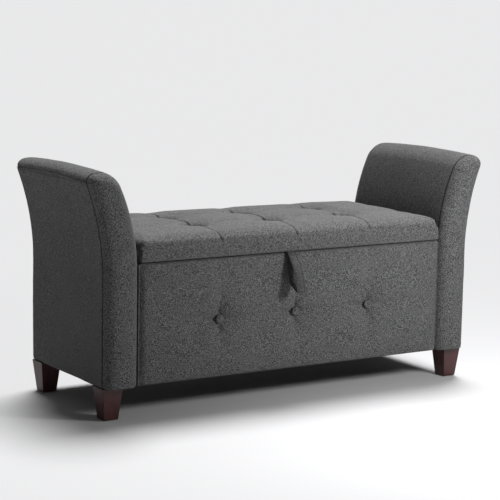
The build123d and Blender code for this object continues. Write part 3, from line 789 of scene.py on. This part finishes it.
def make_arm_cover(arms, seams, grid, material):
    """The right arm's wrapped cover with its rear end."""
    low, high = arm_ends()
    seam_y = low + arms.front_round
    rows = seam_y + (high - arms.rear_round - seam_y) * edge_shares(1.0, 0.02, 0.014, 4)
    ring_x, ring_z = grid.ring.T
    wrap = np.concatenate([np.stack([ring_x, np.full(len(ring_x), y), ring_z], 1) for y in rows])
    faces = grid_faces(len(rows), len(ring_x), closed=True)
    rear = end_points(grid, high, arms.rear_round, arms.rear_dome, 1)
    faces += grid_faces(len(grid.tall), len(grid.wide), first=len(wrap))
    points = crowned(np.concatenate([wrap, rear]), arms)
    cover = subdivide(make_mesh("right_arm_cover", points, faces, material))
    sew_arm_cover(cover, arms, seams, grid.outline)
    return cover


def sew_arm_cover(cover, arms, seams, outline):
    """Draws in the seams and the tuck of the arm's cover, and makes its faces a little uneven."""
    low, high = arm_ends()
    points = coordinates(cover)
    behind_front = points[:, 1] - (low + arms.front_round)
    draw_in(cover, behind_front, seams.depth, seams.width)
    outward = normals(cover)[:, 0] > OUTER_SLOPE
    on_side = outward & (points[:, 1] < high - 0.002)
    draw_in(cover, np.where(on_side, points[:, 2] - arms.band_seam, FAR), seams.depth * 0.75, seams.width)
    _, gap = rounded_end(points[:, [0, 2]], outline, arms.rear_round, 0.0, 1.0)
    at_rear = points[:, 1] > high - arms.rear_round / 2
    draw_in(cover, np.where(at_rear, gap - arms.rear_round, FAR), seams.depth * 0.8, seams.width)
    tuck = np.hypot(points[:, 2] - arms.tuck, (behind_front - arms.tuck_middle) / 4)
    draw_in(cover, np.where(outward, tuck, FAR), arms.tuck_depth, arms.tuck_width)
    free = ramp(points[:, 0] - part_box("right_end_board")[1].x, 0.012)
    press_out(cover, softness(points, "arm") * free * ramp(behind_front, 0.02))


def make_arm_facing(arms, seams, grid, material):
    """The right arm's padded front facing."""
    low, _ = arm_ends()
    seam_y = low + arms.front_round
    front = crowned(end_points(grid, low, arms.front_round, arms.front_dome, -1), arms)
    faces = grid_faces(len(grid.tall), len(grid.wide))
    facing = subdivide(make_mesh("right_arm_facing", front, faces, material))
    points = coordinates(facing)
    draw_in(facing, points[:, 1] - seam_y, seams.depth, seams.width)
    press_out(facing, softness(points, "facing") * ramp(seam_y - points[:, 1], 0.02))
    return facing


def make_arm_welt(arms, seams, grid):
    """The welt cord in the right arm's front seam and a thinner cord along the seam on its outer side, both
    dark as painted seam shade.
    """
    low, high = arm_ends()
    seam_y = low + arms.front_round
    steps = (140, 40, 140)
    sewn = np.concatenate([resample(side, np.linspace(0, 1, n))[:-1] for side, n in zip(grid.sides, steps)])
    way = np.gradient(sewn, axis=0)
    way /= np.linalg.norm(way, axis=1, keepdims=True)
    inward = np.stack([way[:, 1], -way[:, 0]], 1)
    sunk = sewn + inward * (seams.depth * 0.55)
    front = np.stack([sunk[:, 0], np.full(len(sunk), seam_y), sunk[:, 1]], 1)
    # the thinner cord is a dark line laid where the side seam has only shade: painted shade
    outer = grid.sides[2]
    side_x, side_z = outer[np.argmin(np.abs(outer[:, 1] - arms.band_seam))]
    band_y = np.linspace(seam_y, high - arms.rear_round * 0.7, 60)
    band = np.stack([np.full(60, side_x - seams.depth * 0.35), band_y, np.full(60, side_z)], 1)
    cords = [tube(crowned(front, arms), seams.welt), tube(crowned(band, arms), seams.welt * 0.7)]
    return joined_mesh("right_arm_welt", cords, FINISHES["painted_shade_cloth"])


# ---- boxed pads ---------------------------------------------------------------------------------
def with_lines(grid, extra, clear=0.0008):
    """The grid's coordinates with extra ones put in, leaving out grid lines that would lie too close."""
    kept = [g for g in grid if all(abs(g - e) > clear for e in extra) or g in (grid[0], grid[-1])]
    return np.array(sorted([*kept, *extra]))


def rounded_box(points, low, high, radius):
    """Draws points in to a box with rounded edges; the core inside its rounding runs from low to high."""
    core = np.clip(points, low, high)
    away = points - core
    far = np.maximum(np.linalg.norm(away, axis=1, keepdims=True), 1e-9)
    return core + away / far * np.minimum(far, radius)


def rim_of(rows, columns):
    """The numbers of the points round a grid's edge, in order."""
    rim = list(range(columns)) + [r * columns + columns - 1 for r in range(1, rows)]
    rim += [(rows - 1) * columns + c for c in range(columns - 2, -1, -1)]
    return rim + [r * columns for r in range(rows - 2, 0, -1)]


def boxed_pad(low, high, edge, step, depth_axis, lines=((), ()), hem=0.022, corner=0.005):
    """Points and faces of a box with rounded edges on the side that depth_axis points out of.

    It is open behind, inside a narrow hem. Extra mesh lines run at the coordinates in lines, where folds
    need finer faces."""
    low, high = np.array(low), np.array(high)
    way = {"z": (0, 1, 2), "-y": (0, 2, 1)}[depth_axis]
    wide, tall, deep = (high - low)[list(way)]
    across, up = [
        with_lines(edge_shares(span, edge, step, 4) * span, [place - low[axis] for place in places])
        for span, axis, places in zip((wide, tall), way, lines)
    ]
    a, b = np.meshgrid(across, up)
    face = np.stack([a.ravel(), b.ravel(), np.full(a.size, deep)], 1)
    rim = rim_of(len(up), len(across))
    rows_down = np.linspace(edge, deep - 0.006, max(2, int((deep - edge) / step)))[1:]
    last_rows = deep - np.array([0.004, 0.002, 0.0])
    drop = np.concatenate([edge * np.linspace(0, 1, 5)[1:], rows_down, last_rows])
    rings = [face[rim] * (1, 1, 0) + (0, 0, deep - d) for d in drop]
    middle = np.array([wide / 2, tall / 2, 0])
    for inset in (0.004, 0.010, hem):
        shrink = [1 - 2 * inset / wide, 1 - 2 * inset / tall, 1]
        rings.append(middle + (rings[len(drop) - 1] - middle) * shrink)
    points = np.concatenate([face, *rings])
    faces = grid_faces(len(up), len(across))
    around = len(rim)
    numbers = [rim] + [[len(face) + k * around + j for j in range(around)] for k in range(len(rings))]
    for last, here in zip(numbers, numbers[1:]):
        for j in range(around):
            after = (j + 1) % around
            faces.append((last[j], here[j], here[after], last[after]))
    full = rounded_box(points, (edge, edge, -1.0), (wide - edge, tall - edge, deep - edge), edge)
    hemmed = (len(rings) - len(drop)) * around
    full[-hemmed:] = points[-hemmed:]
    sharp = rounded_box(points, (corner, corner, -1.0), (wide - corner, tall - corner, deep), corner)
    below = deep - edge - points[:, 2:]
    share = ramp(below, 0.012)
    points = np.where(below > 0, full * (1 - share) + sharp * share, full)
    placed = np.empty_like(points)
    placed[:, way[0]], placed[:, way[1]] = low[way[0]] + points[:, 0], low[way[1]] + points[:, 1]
    placed[:, way[2]] = low[2] + points[:, 2] if depth_axis == "z" else high[1] - points[:, 2]
    return placed, faces


def near(places, step=0.0013, count=6):
    """Coordinates of fine mesh lines on both sides of each place."""
    return [place + step * k for place in places for k in range(-count, count + 1)]


TUFT_ROWS = 0.160  # distance between the two rows of lid buttons
TUFT_OVAL = (0.88, 1.05)  # a tuft is a little wider along the lid than across it
PAD_STEP = 0.0052  # distance between mesh lines on the lid's pad
PANEL_STEP = 0.0056  # distance between mesh lines on the front panel's pad


def tuft_spots():
    """The columns and rows that the lid's buttons stand in, from their CAD node."""
    points = coordinates(frame["nodes"]["lid_buttons"])
    low, high = points.min(0), points.max(0)
    radius = (high[1] - low[1] - TUFT_ROWS) / 2
    return [low[0] + radius, 0.0, high[0] - radius], [low[1] + radius, high[1] - radius]


def lid_relief(points, lid, low, high):
    """How far the lid's surface lies above or below a flat top: its crown, tufts and soft valleys."""
    x, y = points[:, 0], points[:, 1]
    middle, half = (low + high) / 2, (high - low) / 2
    columns, rows = tuft_spots()
    over = (1 - np.abs((x - middle.x) / half.x) ** 5) * (1 - np.abs((y - middle.y) / half.y) ** 3.2)
    over = np.maximum(over, 0)
    relief = lid.crown * over
    for column in columns:
        relief -= lid.valley * bell(x - column, lid.valley_width) * over**0.5
        for row in rows:
            away = np.hypot((x - column) * TUFT_OVAL[0], (y - row) * TUFT_OVAL[1])
            relief -= lid.tuft_depth / (1 + (away / lid.tuft_radius) ** 5)
    for row in rows:
        relief -= lid.cross_valley * bell(y - row, lid.cross_width) * over**0.5
    return relief


def make_lid(lid, material):
    """The lid's tufted cover."""
    low, high = [Vector(corner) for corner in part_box("lid_cover")]
    high.z = low.z + lid.edge_height
    columns, rows = tuft_spots()
    points, faces = boxed_pad(low, high, lid.edge, PAD_STEP, "z", (near(columns), ()))
    cover = make_mesh("lid_cushion", points, faces, material)
    points = coordinates(cover)
    middle, half = (low + high) / 2, (high - low) / 2
    tuck = lid.under * np.clip(1 - (points[:, 2] - low.z) / lid.under, 0, 1) ** 2
    for axis in (0, 1):
        off = points[:, axis] - middle[axis]
        points[:, axis] -= np.sign(off) * tuck * (np.abs(off) > half[axis] - 0.002)
    top_share = ramp(points[:, 2] - (high.z - lid.edge), lid.edge) ** 0.7
    points[:, 2] += lid_relief(points, lid, low, high) * top_share
    front_share = np.sin(pi * ramp(points[:, 2] - low.z, high.z - low.z))
    points[:, 1] -= lid.front_roll * front_share * (points[:, 1] < low.y + 0.004)
    move_points(cover, points)
    held = points[:, 2] < low.z + 0.012
    for column in columns:
        for row in rows:
            held |= np.hypot(points[:, 0] - column, points[:, 1] - row) < lid.held
    inflate(cover, held, 4.0, lid.puff)
    subdivide(cover)
    fold_lid(cover, lid, low, high)
    return cover


def fold_lid(cover, lid, low, high):
    """Sews the folds through the tufts and gathers the corners."""
    points = coordinates(cover)
    x, y, z = points.T
    columns, rows = tuft_spots()
    from_row = np.minimum(np.abs(y - rows[0]), np.abs(y - rows[1]))
    between_tufts, tuft_reach = 0.35, 0.05  # a fold's depth away from tufts, and how far a tuft deepens it
    fold_width, drift_size, drift_length = 0.0026, 0.004, 0.05
    reach = between_tufts + (1 - between_tufts) * bell(from_row, tuft_reach)
    over_front = (y < low.y + 0.006) * ramp(z - high.z + 0.024, 0.012)
    reach = np.minimum(reach * (ramp(y - low.y + 0.004, 0.01) + over_front), 1)
    reach = reach * ramp(high.y - 0.03 - y, 0.03) * (z > low.z + 0.03)
    pull = np.zeros(len(points))
    for k, column in enumerate(columns):
        drift = drift_size * np.sin((y - rows[0]) / drift_length + k) * (from_row > 0.012)
        pull += lid.fold * reach * np.exp(-np.abs((x - column - drift) / fold_width) ** 1.5)
    gather_depth, gather_pitch, from_corner, gather_width = 0.0007, 0.0016, 0.028, 0.02
    gathers = np.zeros(len(points))
    for corner in (low.x, high.x):
        for edge in (low.y, high.y):
            away = np.hypot(x - corner, y - edge)
            gathers += bell(away - from_corner, gather_width) * np.sin((x - y) / gather_pitch)
    gathers *= gather_depth * bell(z - high.z + 0.010, 0.010)
    press_out(cover, softness(points, "lid") * ramp(z - low.z, 0.012) + gathers - pull)


def front_spots():
    """The middle of each front button, from its CAD node."""
    points = coordinates(frame["nodes"]["front_buttons"])
    radius = (points[:, 2].max() - points[:, 2].min()) / 2
    z = points[:, 2].min() + radius
    return [(points[:, 0].min() + radius, z), (0.0, z), (points[:, 0].max() - radius, z)]


def make_front(front, material):
    """The box's padded front with its star-shaped dimples."""
    low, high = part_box("front_cover")
    spots = front_spots()
    fine = (near([x for x, _ in spots]), near([spots[0][1]]))
    points, faces = boxed_pad(low, high, front.edge, PANEL_STEP, "-y", fine)
    cover = make_mesh("front_panel_cushion", points, faces, material)
    points = coordinates(cover)
    middle, half = (low + high) / 2, (high - low) / 2
    across, up = [np.abs((points[:, k] - middle[k]) / half[k]) for k in (0, 2)]
    back = -front.swell * np.maximum((1 - across**8) * (1 - up**4), 0)
    back += front.side_fall * bell(half.x - np.abs(points[:, 0] - middle.x), front.side_round)
    held = points[:, 1] > low.y + front.edge
    well_depth, well_radius = 0.004, 0.017  # the steeper hole right round a button
    for x, z in spots:
        away = np.hypot(points[:, 0] - x, points[:, 2] - z)
        turn = np.arctan2(points[:, 2] - z, points[:, 0] - x)
        reach = front.dimple_radius + front.star * np.abs(np.cos(2 * turn)) ** 5 * ramp(away, 0.03)
        back += front.dimple / (1 + (away / reach) ** 2.2)
        back += well_depth * np.exp(-((away / well_radius) ** 4))
        held |= away < front.held
    face_share = ramp(low.y + front.edge - points[:, 1], front.edge)
    points[:, 1] += np.minimum(back, front.deepest) * face_share
    move_points(cover, points)
    inflate(cover, held, 3.0, front.puff)
    subdivide(cover)
    fold_front(cover, front, low)
    return cover


def fold_front(cover, front, low):
    """Sews the four folds at each button and keeps the cloth off the board behind it."""
    points = coordinates(cover)
    x, y, z = points.T
    pull = np.zeros(len(points))
    nearest = np.full(len(points), FAR)
    fold_reach, fold_width, by_button = 0.042, 0.0034, 0.08
    for spot_x, spot_z in front_spots():
        dx, dz = x - spot_x, z - spot_z
        away = np.hypot(dx, dz)
        nearest = np.minimum(nearest, away)
        fade = bell(away, fold_reach) * ramp(away, 0.012)
        for line, other in ((dx, dz), (dz, dx)):
            pull += front.pleat * fade * bell(line, fold_width) * (np.abs(other) > 0.006)
    press_out(cover, softness(points, "front") * ramp(low.y + front.edge - y, front.edge) - pull)
    points = coordinates(cover)
    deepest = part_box("front_board")[0].y - front.board_gap
    points[:, 1] = np.where(nearest < by_button, np.minimum(points[:, 1], deepest), points[:, 1])
    move_points(cover, points)


# ---- buttons and strap --------------------------------------------------------------------------
def covered_button(buttons):
    """Points and faces of one button, with its dome towards +Z and its rim at the origin."""
    count = buttons.segments
    last_turn, rows, pucker_depth = radians(118), 12, 0.012
    turns = np.linspace(0, last_turn, rows + 1)[1:]
    points = [(0.0, 0.0, buttons.rise)]
    for turn in turns:
        radius = buttons.radius * sin(turn) ** 0.92
        height = buttons.rise * (cos(turn) if turn < pi / 2 else 0.6 * cos(turn))
        for k in range(count):
            angle = tau * k / count
            pucker = radius * (1 + pucker_depth * sin(turn) ** 6 * cos(buttons.puckers * angle))
            points.append((pucker * cos(angle), pucker * sin(angle), height))
    faces = [(0, 1 + k, 1 + (k + 1) % count) for k in range(count)]
    faces += grid_faces(len(turns), count, closed=True, first=1)
    faces.append(tuple(range(len(points) - count, len(points))))
    return np.array(points), faces


# the rim's faces get the darkened cloth: painted shade of the hole round each button
RIM_SLOPE = 0.62  # a button's faces that point less outward than this are its shaded rim


def make_buttons(name, buttons, places, material):
    """One object with a covered button at each place."""
    points, faces = covered_button(buttons)
    made = joined_mesh(name, [([place @ Vector(p) for p in points], faces) for place in places], material)
    # second slot: the darkened cloth, painted shade on each button's rim
    made.data.materials.append(FINISHES["painted_shade_cloth"])
    outward = (places[0].to_3x3() @ Vector((0, 0, 1))).normalized()
    for face in made.data.polygons:
        face.material_index = int(face.normal.dot(outward) < RIM_SLOPE)
    return made


def strap_line():
    """The strap's middle line in Y and Z: out of the gap, down to the fold, back and in again."""
    low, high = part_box("pull_strap")
    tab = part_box("strap_tab")
    gap = (tab[0].z + tab[1].z) / 2
    root_y = high.y - 0.0024
    corners = [
        (tab[1].y - 0.002, gap + 0.0006), (root_y, gap + 0.0006), (root_y - 0.035, gap - 0.039),
        (low.y + 0.0012, low.z + 0.0012), (root_y - 0.018, gap - 0.087), (root_y + 0.0012, gap - 0.0009),
        (tab[1].y - 0.002, gap - 0.0009),
    ]
    return rounded_path(corners, [0.0025, 0.014, 0.0034, 0.010, 0.0012])


def band_points(line, x_low, x_high, thickness, inset):
    """Points and faces of a flat band along a line, with hemmed edges and grooves under its stitches."""
    way = np.gradient(line, axis=0)
    way /= np.linalg.norm(way, axis=1, keepdims=True)
    out = np.stack([way[:, 1], -way[:, 0]], 1)
    width = x_high - x_low
    across = np.array([0, 0.35, 0.9, 1.8, inset * 1e3, inset * 1e3 + 1.2, width * 500]) / 1e3
    across = np.concatenate([across, width - across[-2::-1]])
    lift = np.array([0.15, 0.75, 1.0, 1.0, 0.25, 0.96, 0.98])
    lift = np.concatenate([lift, lift[-2::-1]]) * thickness / 2
    section = [(x, h) for x, h in zip(across, lift)] + [(x, -h) for x, h in zip(across[::-1], lift[::-1])]
    points = [(x_low + x, p[0] + h * o[0], p[1] + h * o[1]) for p, o in zip(line, out) for x, h in section]
    faces = grid_faces(len(line), len(section), closed=True)
    faces += [tuple(range(len(section)))[::-1], tuple(range(len(points) - len(section), len(points)))]
    return points, faces, out


def stitches(line, out, x, lift, seams):
    """The stitches of a row that lies on a band, each as its points and faces."""
    run = along(line)
    pitch = seams.stitch + seams.stitch_gap
    bow = lift - seams.stitch_radius * np.array([1.0, 0.1, -0.4, 0.1, 1.0])
    row = []
    for k in range(int(run[-1] / pitch)):
        shares = (k * pitch + np.linspace(0, seams.stitch, 5)) / run[-1]
        spots, ways = resample(line, shares), resample(out, shares)
        path = [(x, *(spot + way * b)) for spot, way, b in zip(spots, ways, bow)]
        row.append(tube(path, seams.stitch_radius, sides=5))
    return row


def make_strap(strap, seams, material):
    """The pull strap and its rows of stitches."""
    low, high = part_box("pull_strap")
    line = resample(strap_line(), np.linspace(0, 1, 190))
    points, faces, out = band_points(line, low.x, high.x, strap.thickness, strap.stitch_inset)
    band = make_mesh("pull_strap_band", points, faces, material)
    band.data.materials.append(FINISHES["painted_shade_cloth"])
    # faces over the stitch grooves take the darkened cloth: painted shade in the grooves
    for face in band.data.polygons:
        from_edge = min(face.center.x - low.x, high.x - face.center.x)
        face.material_index = int(abs(from_edge - strap.stitch_inset) < strap.groove)
    shown = (line[:, 0] < high.y + 0.004) & (np.arange(len(line)) < len(line) * 0.97)
    rows = []
    for x in (low.x + strap.stitch_inset, high.x - strap.stitch_inset):
        for side in (1, -1):
            rows += stitches(line[shown], out[shown] * side, x, strap.thickness * 0.36, seams)
    return band, joined_mesh("pull_strap_stitches", rows, FINISHES["thread"], weld=False)


# ---- flat cloths --------------------------------------------------------------------------------
def flat_cloth(name, low, high, axis, material, wave=0.0006, step=0.012, seed=9):
    """A flat sheet of cloth with slight waves, square to the given axis."""
    low, high = np.array(low, float), np.array(high, float)
    u, v = [k for k in range(3) if k != axis]
    us, vs = [np.linspace(low[k], high[k], max(2, int((high[k] - low[k]) / step)) + 1) for k in (u, v)]
    a, b = np.meshgrid(us, vs)
    points = np.empty((a.size, 3))
    points[:, u], points[:, v], points[:, axis] = a.ravel(), b.ravel(), (low[axis] + high[axis]) / 2
    inside = np.minimum(points - low, high - points)[:, [u, v]].min(1)
    points[:, axis] += wave * unevenness(points, 0.06, seed) * ramp(inside, 0.03)
    sheet = make_mesh(name, points, grid_faces(len(vs), len(us)), material)
    return sheet


# ---- operators ----------------------------------------------------------------------------------
class MakeFinishes(bpy.types.Operator):
    """Make the cloth, wood and metal finishes and put them on the frame's own parts"""

    bl_idname = "bench.make_finishes"
    bl_label = "Finishes"

    def execute(self, context):
        FINISHES.update(make_finishes(context.scene.bench_cloth))
        by_slot = {
            "fabric": "cover_cloth", "lining": "lining_cloth", "foam": "foam", "legs": "leg_wood",
            "plywood": "raw_wood", "fibreboard": "raw_wood", "zinc_steel": "zinc",
            "dark_steel": "black_steel", "glide": "nylon", "bumper": "rubber",
        }
        slots = {part["node"]: part["material_slot"] for part in frame["record"]["subparts"]}
        for name, node in frame["nodes"].items():
            node.data.materials.clear()
            node.data.materials.append(FINISHES[by_slot[slots[name]]])
        return {"FINISHED"}


class MakeArms(bpy.types.Operator):
    """Make both arms' covers, front facings and welts"""

    bl_idname = "bench.make_arms"
    bl_label = "Arms"

    def execute(self, context):
        scene = context.scene
        arms, seams, cloth = scene.bench_arms, scene.bench_seams, FINISHES["cover_cloth"]
        grid = arm_grid(arms)
        right = {
            "cover": make_arm_cover(arms, seams, grid, cloth),
            "facing": make_arm_facing(arms, seams, grid, cloth),
            "welt": make_arm_welt(arms, seams, grid),
        }
        left = {part: mirrored(obj, f"left_arm_{part}") for part, obj in right.items()}
        for word, arm in (("right", right), ("left", left)):
            covers = [f"{word}_arm_{part}" for part in ("inner_cover", "outer_cover", "rear_facing", "foam")]
            settle(arm["cover"], "base", covers)
            settle(arm["facing"], "base", [f"{word}_arm_front_facing"])
            settle(arm["welt"], "base")
        return {"FINISHED"}


class MakeFront(bpy.types.Operator):
    """Make the padded front panel and its buttons"""

    bl_idname = "bench.make_front"
    bl_label = "Front panel"

    def execute(self, context):
        scene = context.scene
        cover = make_front(scene.bench_front, FINISHES["cover_cloth"])
        settle(cover, "base", ["front_cover", "front_foam"])
        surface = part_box("front_cover")[0].y + scene.bench_front.dimple * 0.42
        turn = Matrix.Rotation(pi / 2, 4, "X")
        places = [Matrix.Translation((x, surface, z)) @ turn for x, z in front_spots()]
        buttons = make_buttons("front_covered_buttons", scene.bench_buttons, places, FINISHES["cover_cloth"])
        settle(buttons, "base", ["front_buttons"])
        return {"FINISHED"}


class MakeLid(bpy.types.Operator):
    """Make the tufted lid cushion, its buttons and its lining"""

    bl_idname = "bench.make_lid"
    bl_label = "Lid"

    def execute(self, context):
        scene = context.scene
        cover = make_lid(scene.bench_lid, FINISHES["cover_cloth"])
        settle(cover, "lid", ["lid_cover", "lid_foam"])
        columns, rows = tuft_spots()
        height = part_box("lid_cover")[0].z + scene.bench_lid.edge_height - scene.bench_lid.tuft_depth + 0.008
        places = [Matrix.Translation((x, y, height)) for x in columns for y in rows]
        buttons = make_buttons("lid_covered_buttons", scene.bench_buttons, places, FINISHES["cover_cloth"])
        settle(buttons, "lid", ["lid_buttons"])
        low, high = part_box("lid_lining")
        drop = Vector((0, 0, high.z - low.z))
        lining = FINISHES["lining_cloth"]
        under = flat_cloth("lid_underside_lining", low - drop, high - drop, 2, lining, wave=0.0002)
        settle(under, "lid", ["lid_lining"])
        return {"FINISHED"}


class MakeStrap(bpy.types.Operator):
    """Make the pull strap and its stitches"""

    bl_idname = "bench.make_strap"
    bl_label = "Pull strap"

    def execute(self, context):
        scene = context.scene
        band, sewing = make_strap(scene.bench_strap, scene.bench_seams, FINISHES["strap_cloth"])
        for piece in (band, sewing):
            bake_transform(piece)
        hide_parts("pull_strap", "strap_tab")
        return {"FINISHED"}


class MakeLinings(bpy.types.Operator):
    """Make the back cover, the storage lining and the cloths under the bench"""

    bl_idname = "bench.make_linings"
    bl_label = "Linings"

    def execute(self, context):
        low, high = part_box("back_cover")
        past_edges, wrap, above = 0.0028, 0.010, 0.0010
        low, high = low - Vector((past_edges, wrap, 0)), high + Vector((past_edges, 0, above))
        points, faces = boxed_pad(low, high, 0.0018, 0.012, "-y", hem=0.012)
        points[:, 1] = low.y + high.y - points[:, 1]
        back = make_mesh("back_panel_cover", points, faces, FINISHES["cover_cloth"])
        settle(back, "base", ["back_cover"])
        low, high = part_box("storage_lining")
        lining = FINISHES["lining_cloth"]
        thin = 0.001
        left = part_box("left_end_board")[0].x + 0.0006
        hem_low, hem_high = low.y + thin, high.y - thin
        walls = {
            "front": ((low.x, low.y, low.z), (high.x, low.y + thin, high.z), 1),
            "rear": ((low.x, high.y - thin, low.z), (high.x, high.y, high.z), 1),
            "left": ((low.x, low.y, low.z), (low.x + thin, high.y, high.z), 0),
            "right": ((high.x - thin, low.y, low.z), (high.x, high.y, high.z), 0),
            "floor": ((low.x, low.y, low.z), (high.x, high.y, low.z + thin), 2),
            "left_hem": ((left, hem_low, high.z), (low.x, hem_high, high.z + thin), 2),
            "right_hem": ((high.x, hem_low, high.z), (-left, hem_high, high.z + thin), 2),
        }
        for seed, (word, (a, b, axis)) in enumerate(walls.items(), start=20):
            cloth = flat_cloth(f"lining_{word}", a, b, axis, lining, wave=0.0005, seed=seed)
            settle(cloth, "base", ["storage_lining"])
        insets = {"box": 0.002, "left_arm": 0.009, "right_arm": 0.009}
        for seed, (place, inset) in enumerate(insets.items(), start=30):
            low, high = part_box(f"{place}_dust_cloth")
            hem = Vector((inset, inset, 0))
            name = f"{place}_under_cloth"
            cloth = flat_cloth(name, low + hem, high - hem, 2, lining, wave=0.0004, seed=seed)
            settle(cloth, "base", [f"{place}_dust_cloth"])
        return {"FINISHED"}


class MakeStage(bpy.types.Operator):
    """Make the floor, the lights and the camera"""

    bl_idname = "bench.make_stage"
    bl_label = "Stage"

    def execute(self, context):
        scene, stage = context.scene, context.scene.bench_stage
        reach = stage.floor_reach
        corners = [(-reach, -reach, 0), (reach, -reach, 0), (reach, reach, 0), (-reach, reach, 0)]
        floor = make_mesh("floor", corners, [(0, 1, 2, 3)])
        pale = bpy.data.materials.new("floor_paint")
        pale.use_nodes = True
        paint = pale.node_tree.nodes["Principled BSDF"].inputs
        paint["Base Color"].default_value = (*stage.floor, 1)
        paint["Roughness"].default_value = 0.9
        floor.data.materials.append(pale)
        self.lamp("key_light", stage.key, Vector(stage.key_place), stage.key_size)
        self.sun("top_light", stage.top, stage.top_source, stage.top_angle)
        world = bpy.data.worlds.new("studio")
        world.use_nodes = True
        sky = world.node_tree.nodes["Background"].inputs
        sky["Color"].default_value = (1, 1, 1, 1)
        sky["Strength"].default_value = stage.sky
        scene.world = world
        self.camera(scene, stage)
        scene.view_settings.view_transform = "Standard"
        return {"FINISHED"}

    def lamp(self, name, power, place, size):
        """A round lamp that shines on the bench's right front."""
        disk = bpy.data.lights.new(name, "AREA")
        disk.shape, disk.energy, disk.size = "DISK", power, size
        obj = bpy.data.objects.new(name, disk)
        middle = (CAD_BOX[0] + CAD_BOX[1]) / 2
        obj.location = middle + place
        obj.rotation_mode = "QUATERNION"
        obj.rotation_quaternion = (place - Vector((place.x, CAD_BOX[0].y, 0))).to_track_quat("Z", "Y")
        bpy.context.scene.collection.objects.link(obj)

    def sun(self, name, strength, source, angle):
        """A sun that shines from the given direction."""
        lamp = bpy.data.lights.new(name, "SUN")
        lamp.energy, lamp.angle = strength, angle
        obj = bpy.data.objects.new(name, lamp)
        obj.rotation_mode = "QUATERNION"
        obj.rotation_quaternion = Vector(source).to_track_quat("Z", "Y")
        bpy.context.scene.collection.objects.link(obj)

    def camera(self, scene, stage):
        """A camera that looks at the stage's aim."""
        low, high = CAD_BOX
        target = (low + high) / 2 + Vector(stage.aim)
        turn, rise = stage.azimuth, stage.elevation
        ahead = Vector((sin(turn) * cos(rise), cos(turn) * cos(rise), -sin(rise)))
        lens = bpy.data.cameras.new("camera")
        lens.lens, lens.sensor_width = stage.lens, 36.0
        lens.clip_end = 5000.0
        camera = bpy.data.objects.new("camera", lens)
        camera.rotation_mode = "QUATERNION"
        roll = Matrix.Rotation(stage.roll, 3, "Z").to_quaternion()
        camera.rotation_quaternion = ahead.to_track_quat("-Z", "Y") @ roll
        camera.location = target - ahead * stage.distance
        scene.collection.objects.link(camera)
        scene.camera = camera


class BenchPanel(bpy.types.Panel):
    """Lists the steps that dress the bench"""

    bl_idname = "BENCH_PT_steps"
    bl_label = "Storage bench"
    bl_space_type = "VIEW_3D"
    bl_region_type = "UI"
    bl_category = "Bench"

    def draw(self, context):
        for step in STEPS:
            self.layout.operator(step.bl_idname)
        for name, group in GROUPS.items():
            box = self.layout.box()
            box.label(text=group.__doc__)
            for key in group.__annotations__:
                box.prop(getattr(context.scene, name), key)


STEPS = (MakeFinishes, MakeArms, MakeFront, MakeLid, MakeStrap, MakeLinings, MakeStage)


def register():
    for name, group in GROUPS.items():
        bpy.utils.register_class(group)
        setattr(bpy.types.Scene, name, bpy.props.PointerProperty(type=group))
    for made in (*STEPS, BenchPanel):
        bpy.utils.register_class(made)


def unregister():
    for made in (BenchPanel, *reversed(STEPS)):
        bpy.utils.unregister_class(made)
    for name, group in GROUPS.items():
        delattr(bpy.types.Scene, name)
        bpy.utils.unregister_class(group)


def main():
    """Dresses the bench."""
    register()
    for step in STEPS:
        folder, call = step.bl_idname.split(".")
        getattr(getattr(bpy.ops, folder), call)()


if __name__ == "__main__":
    main()
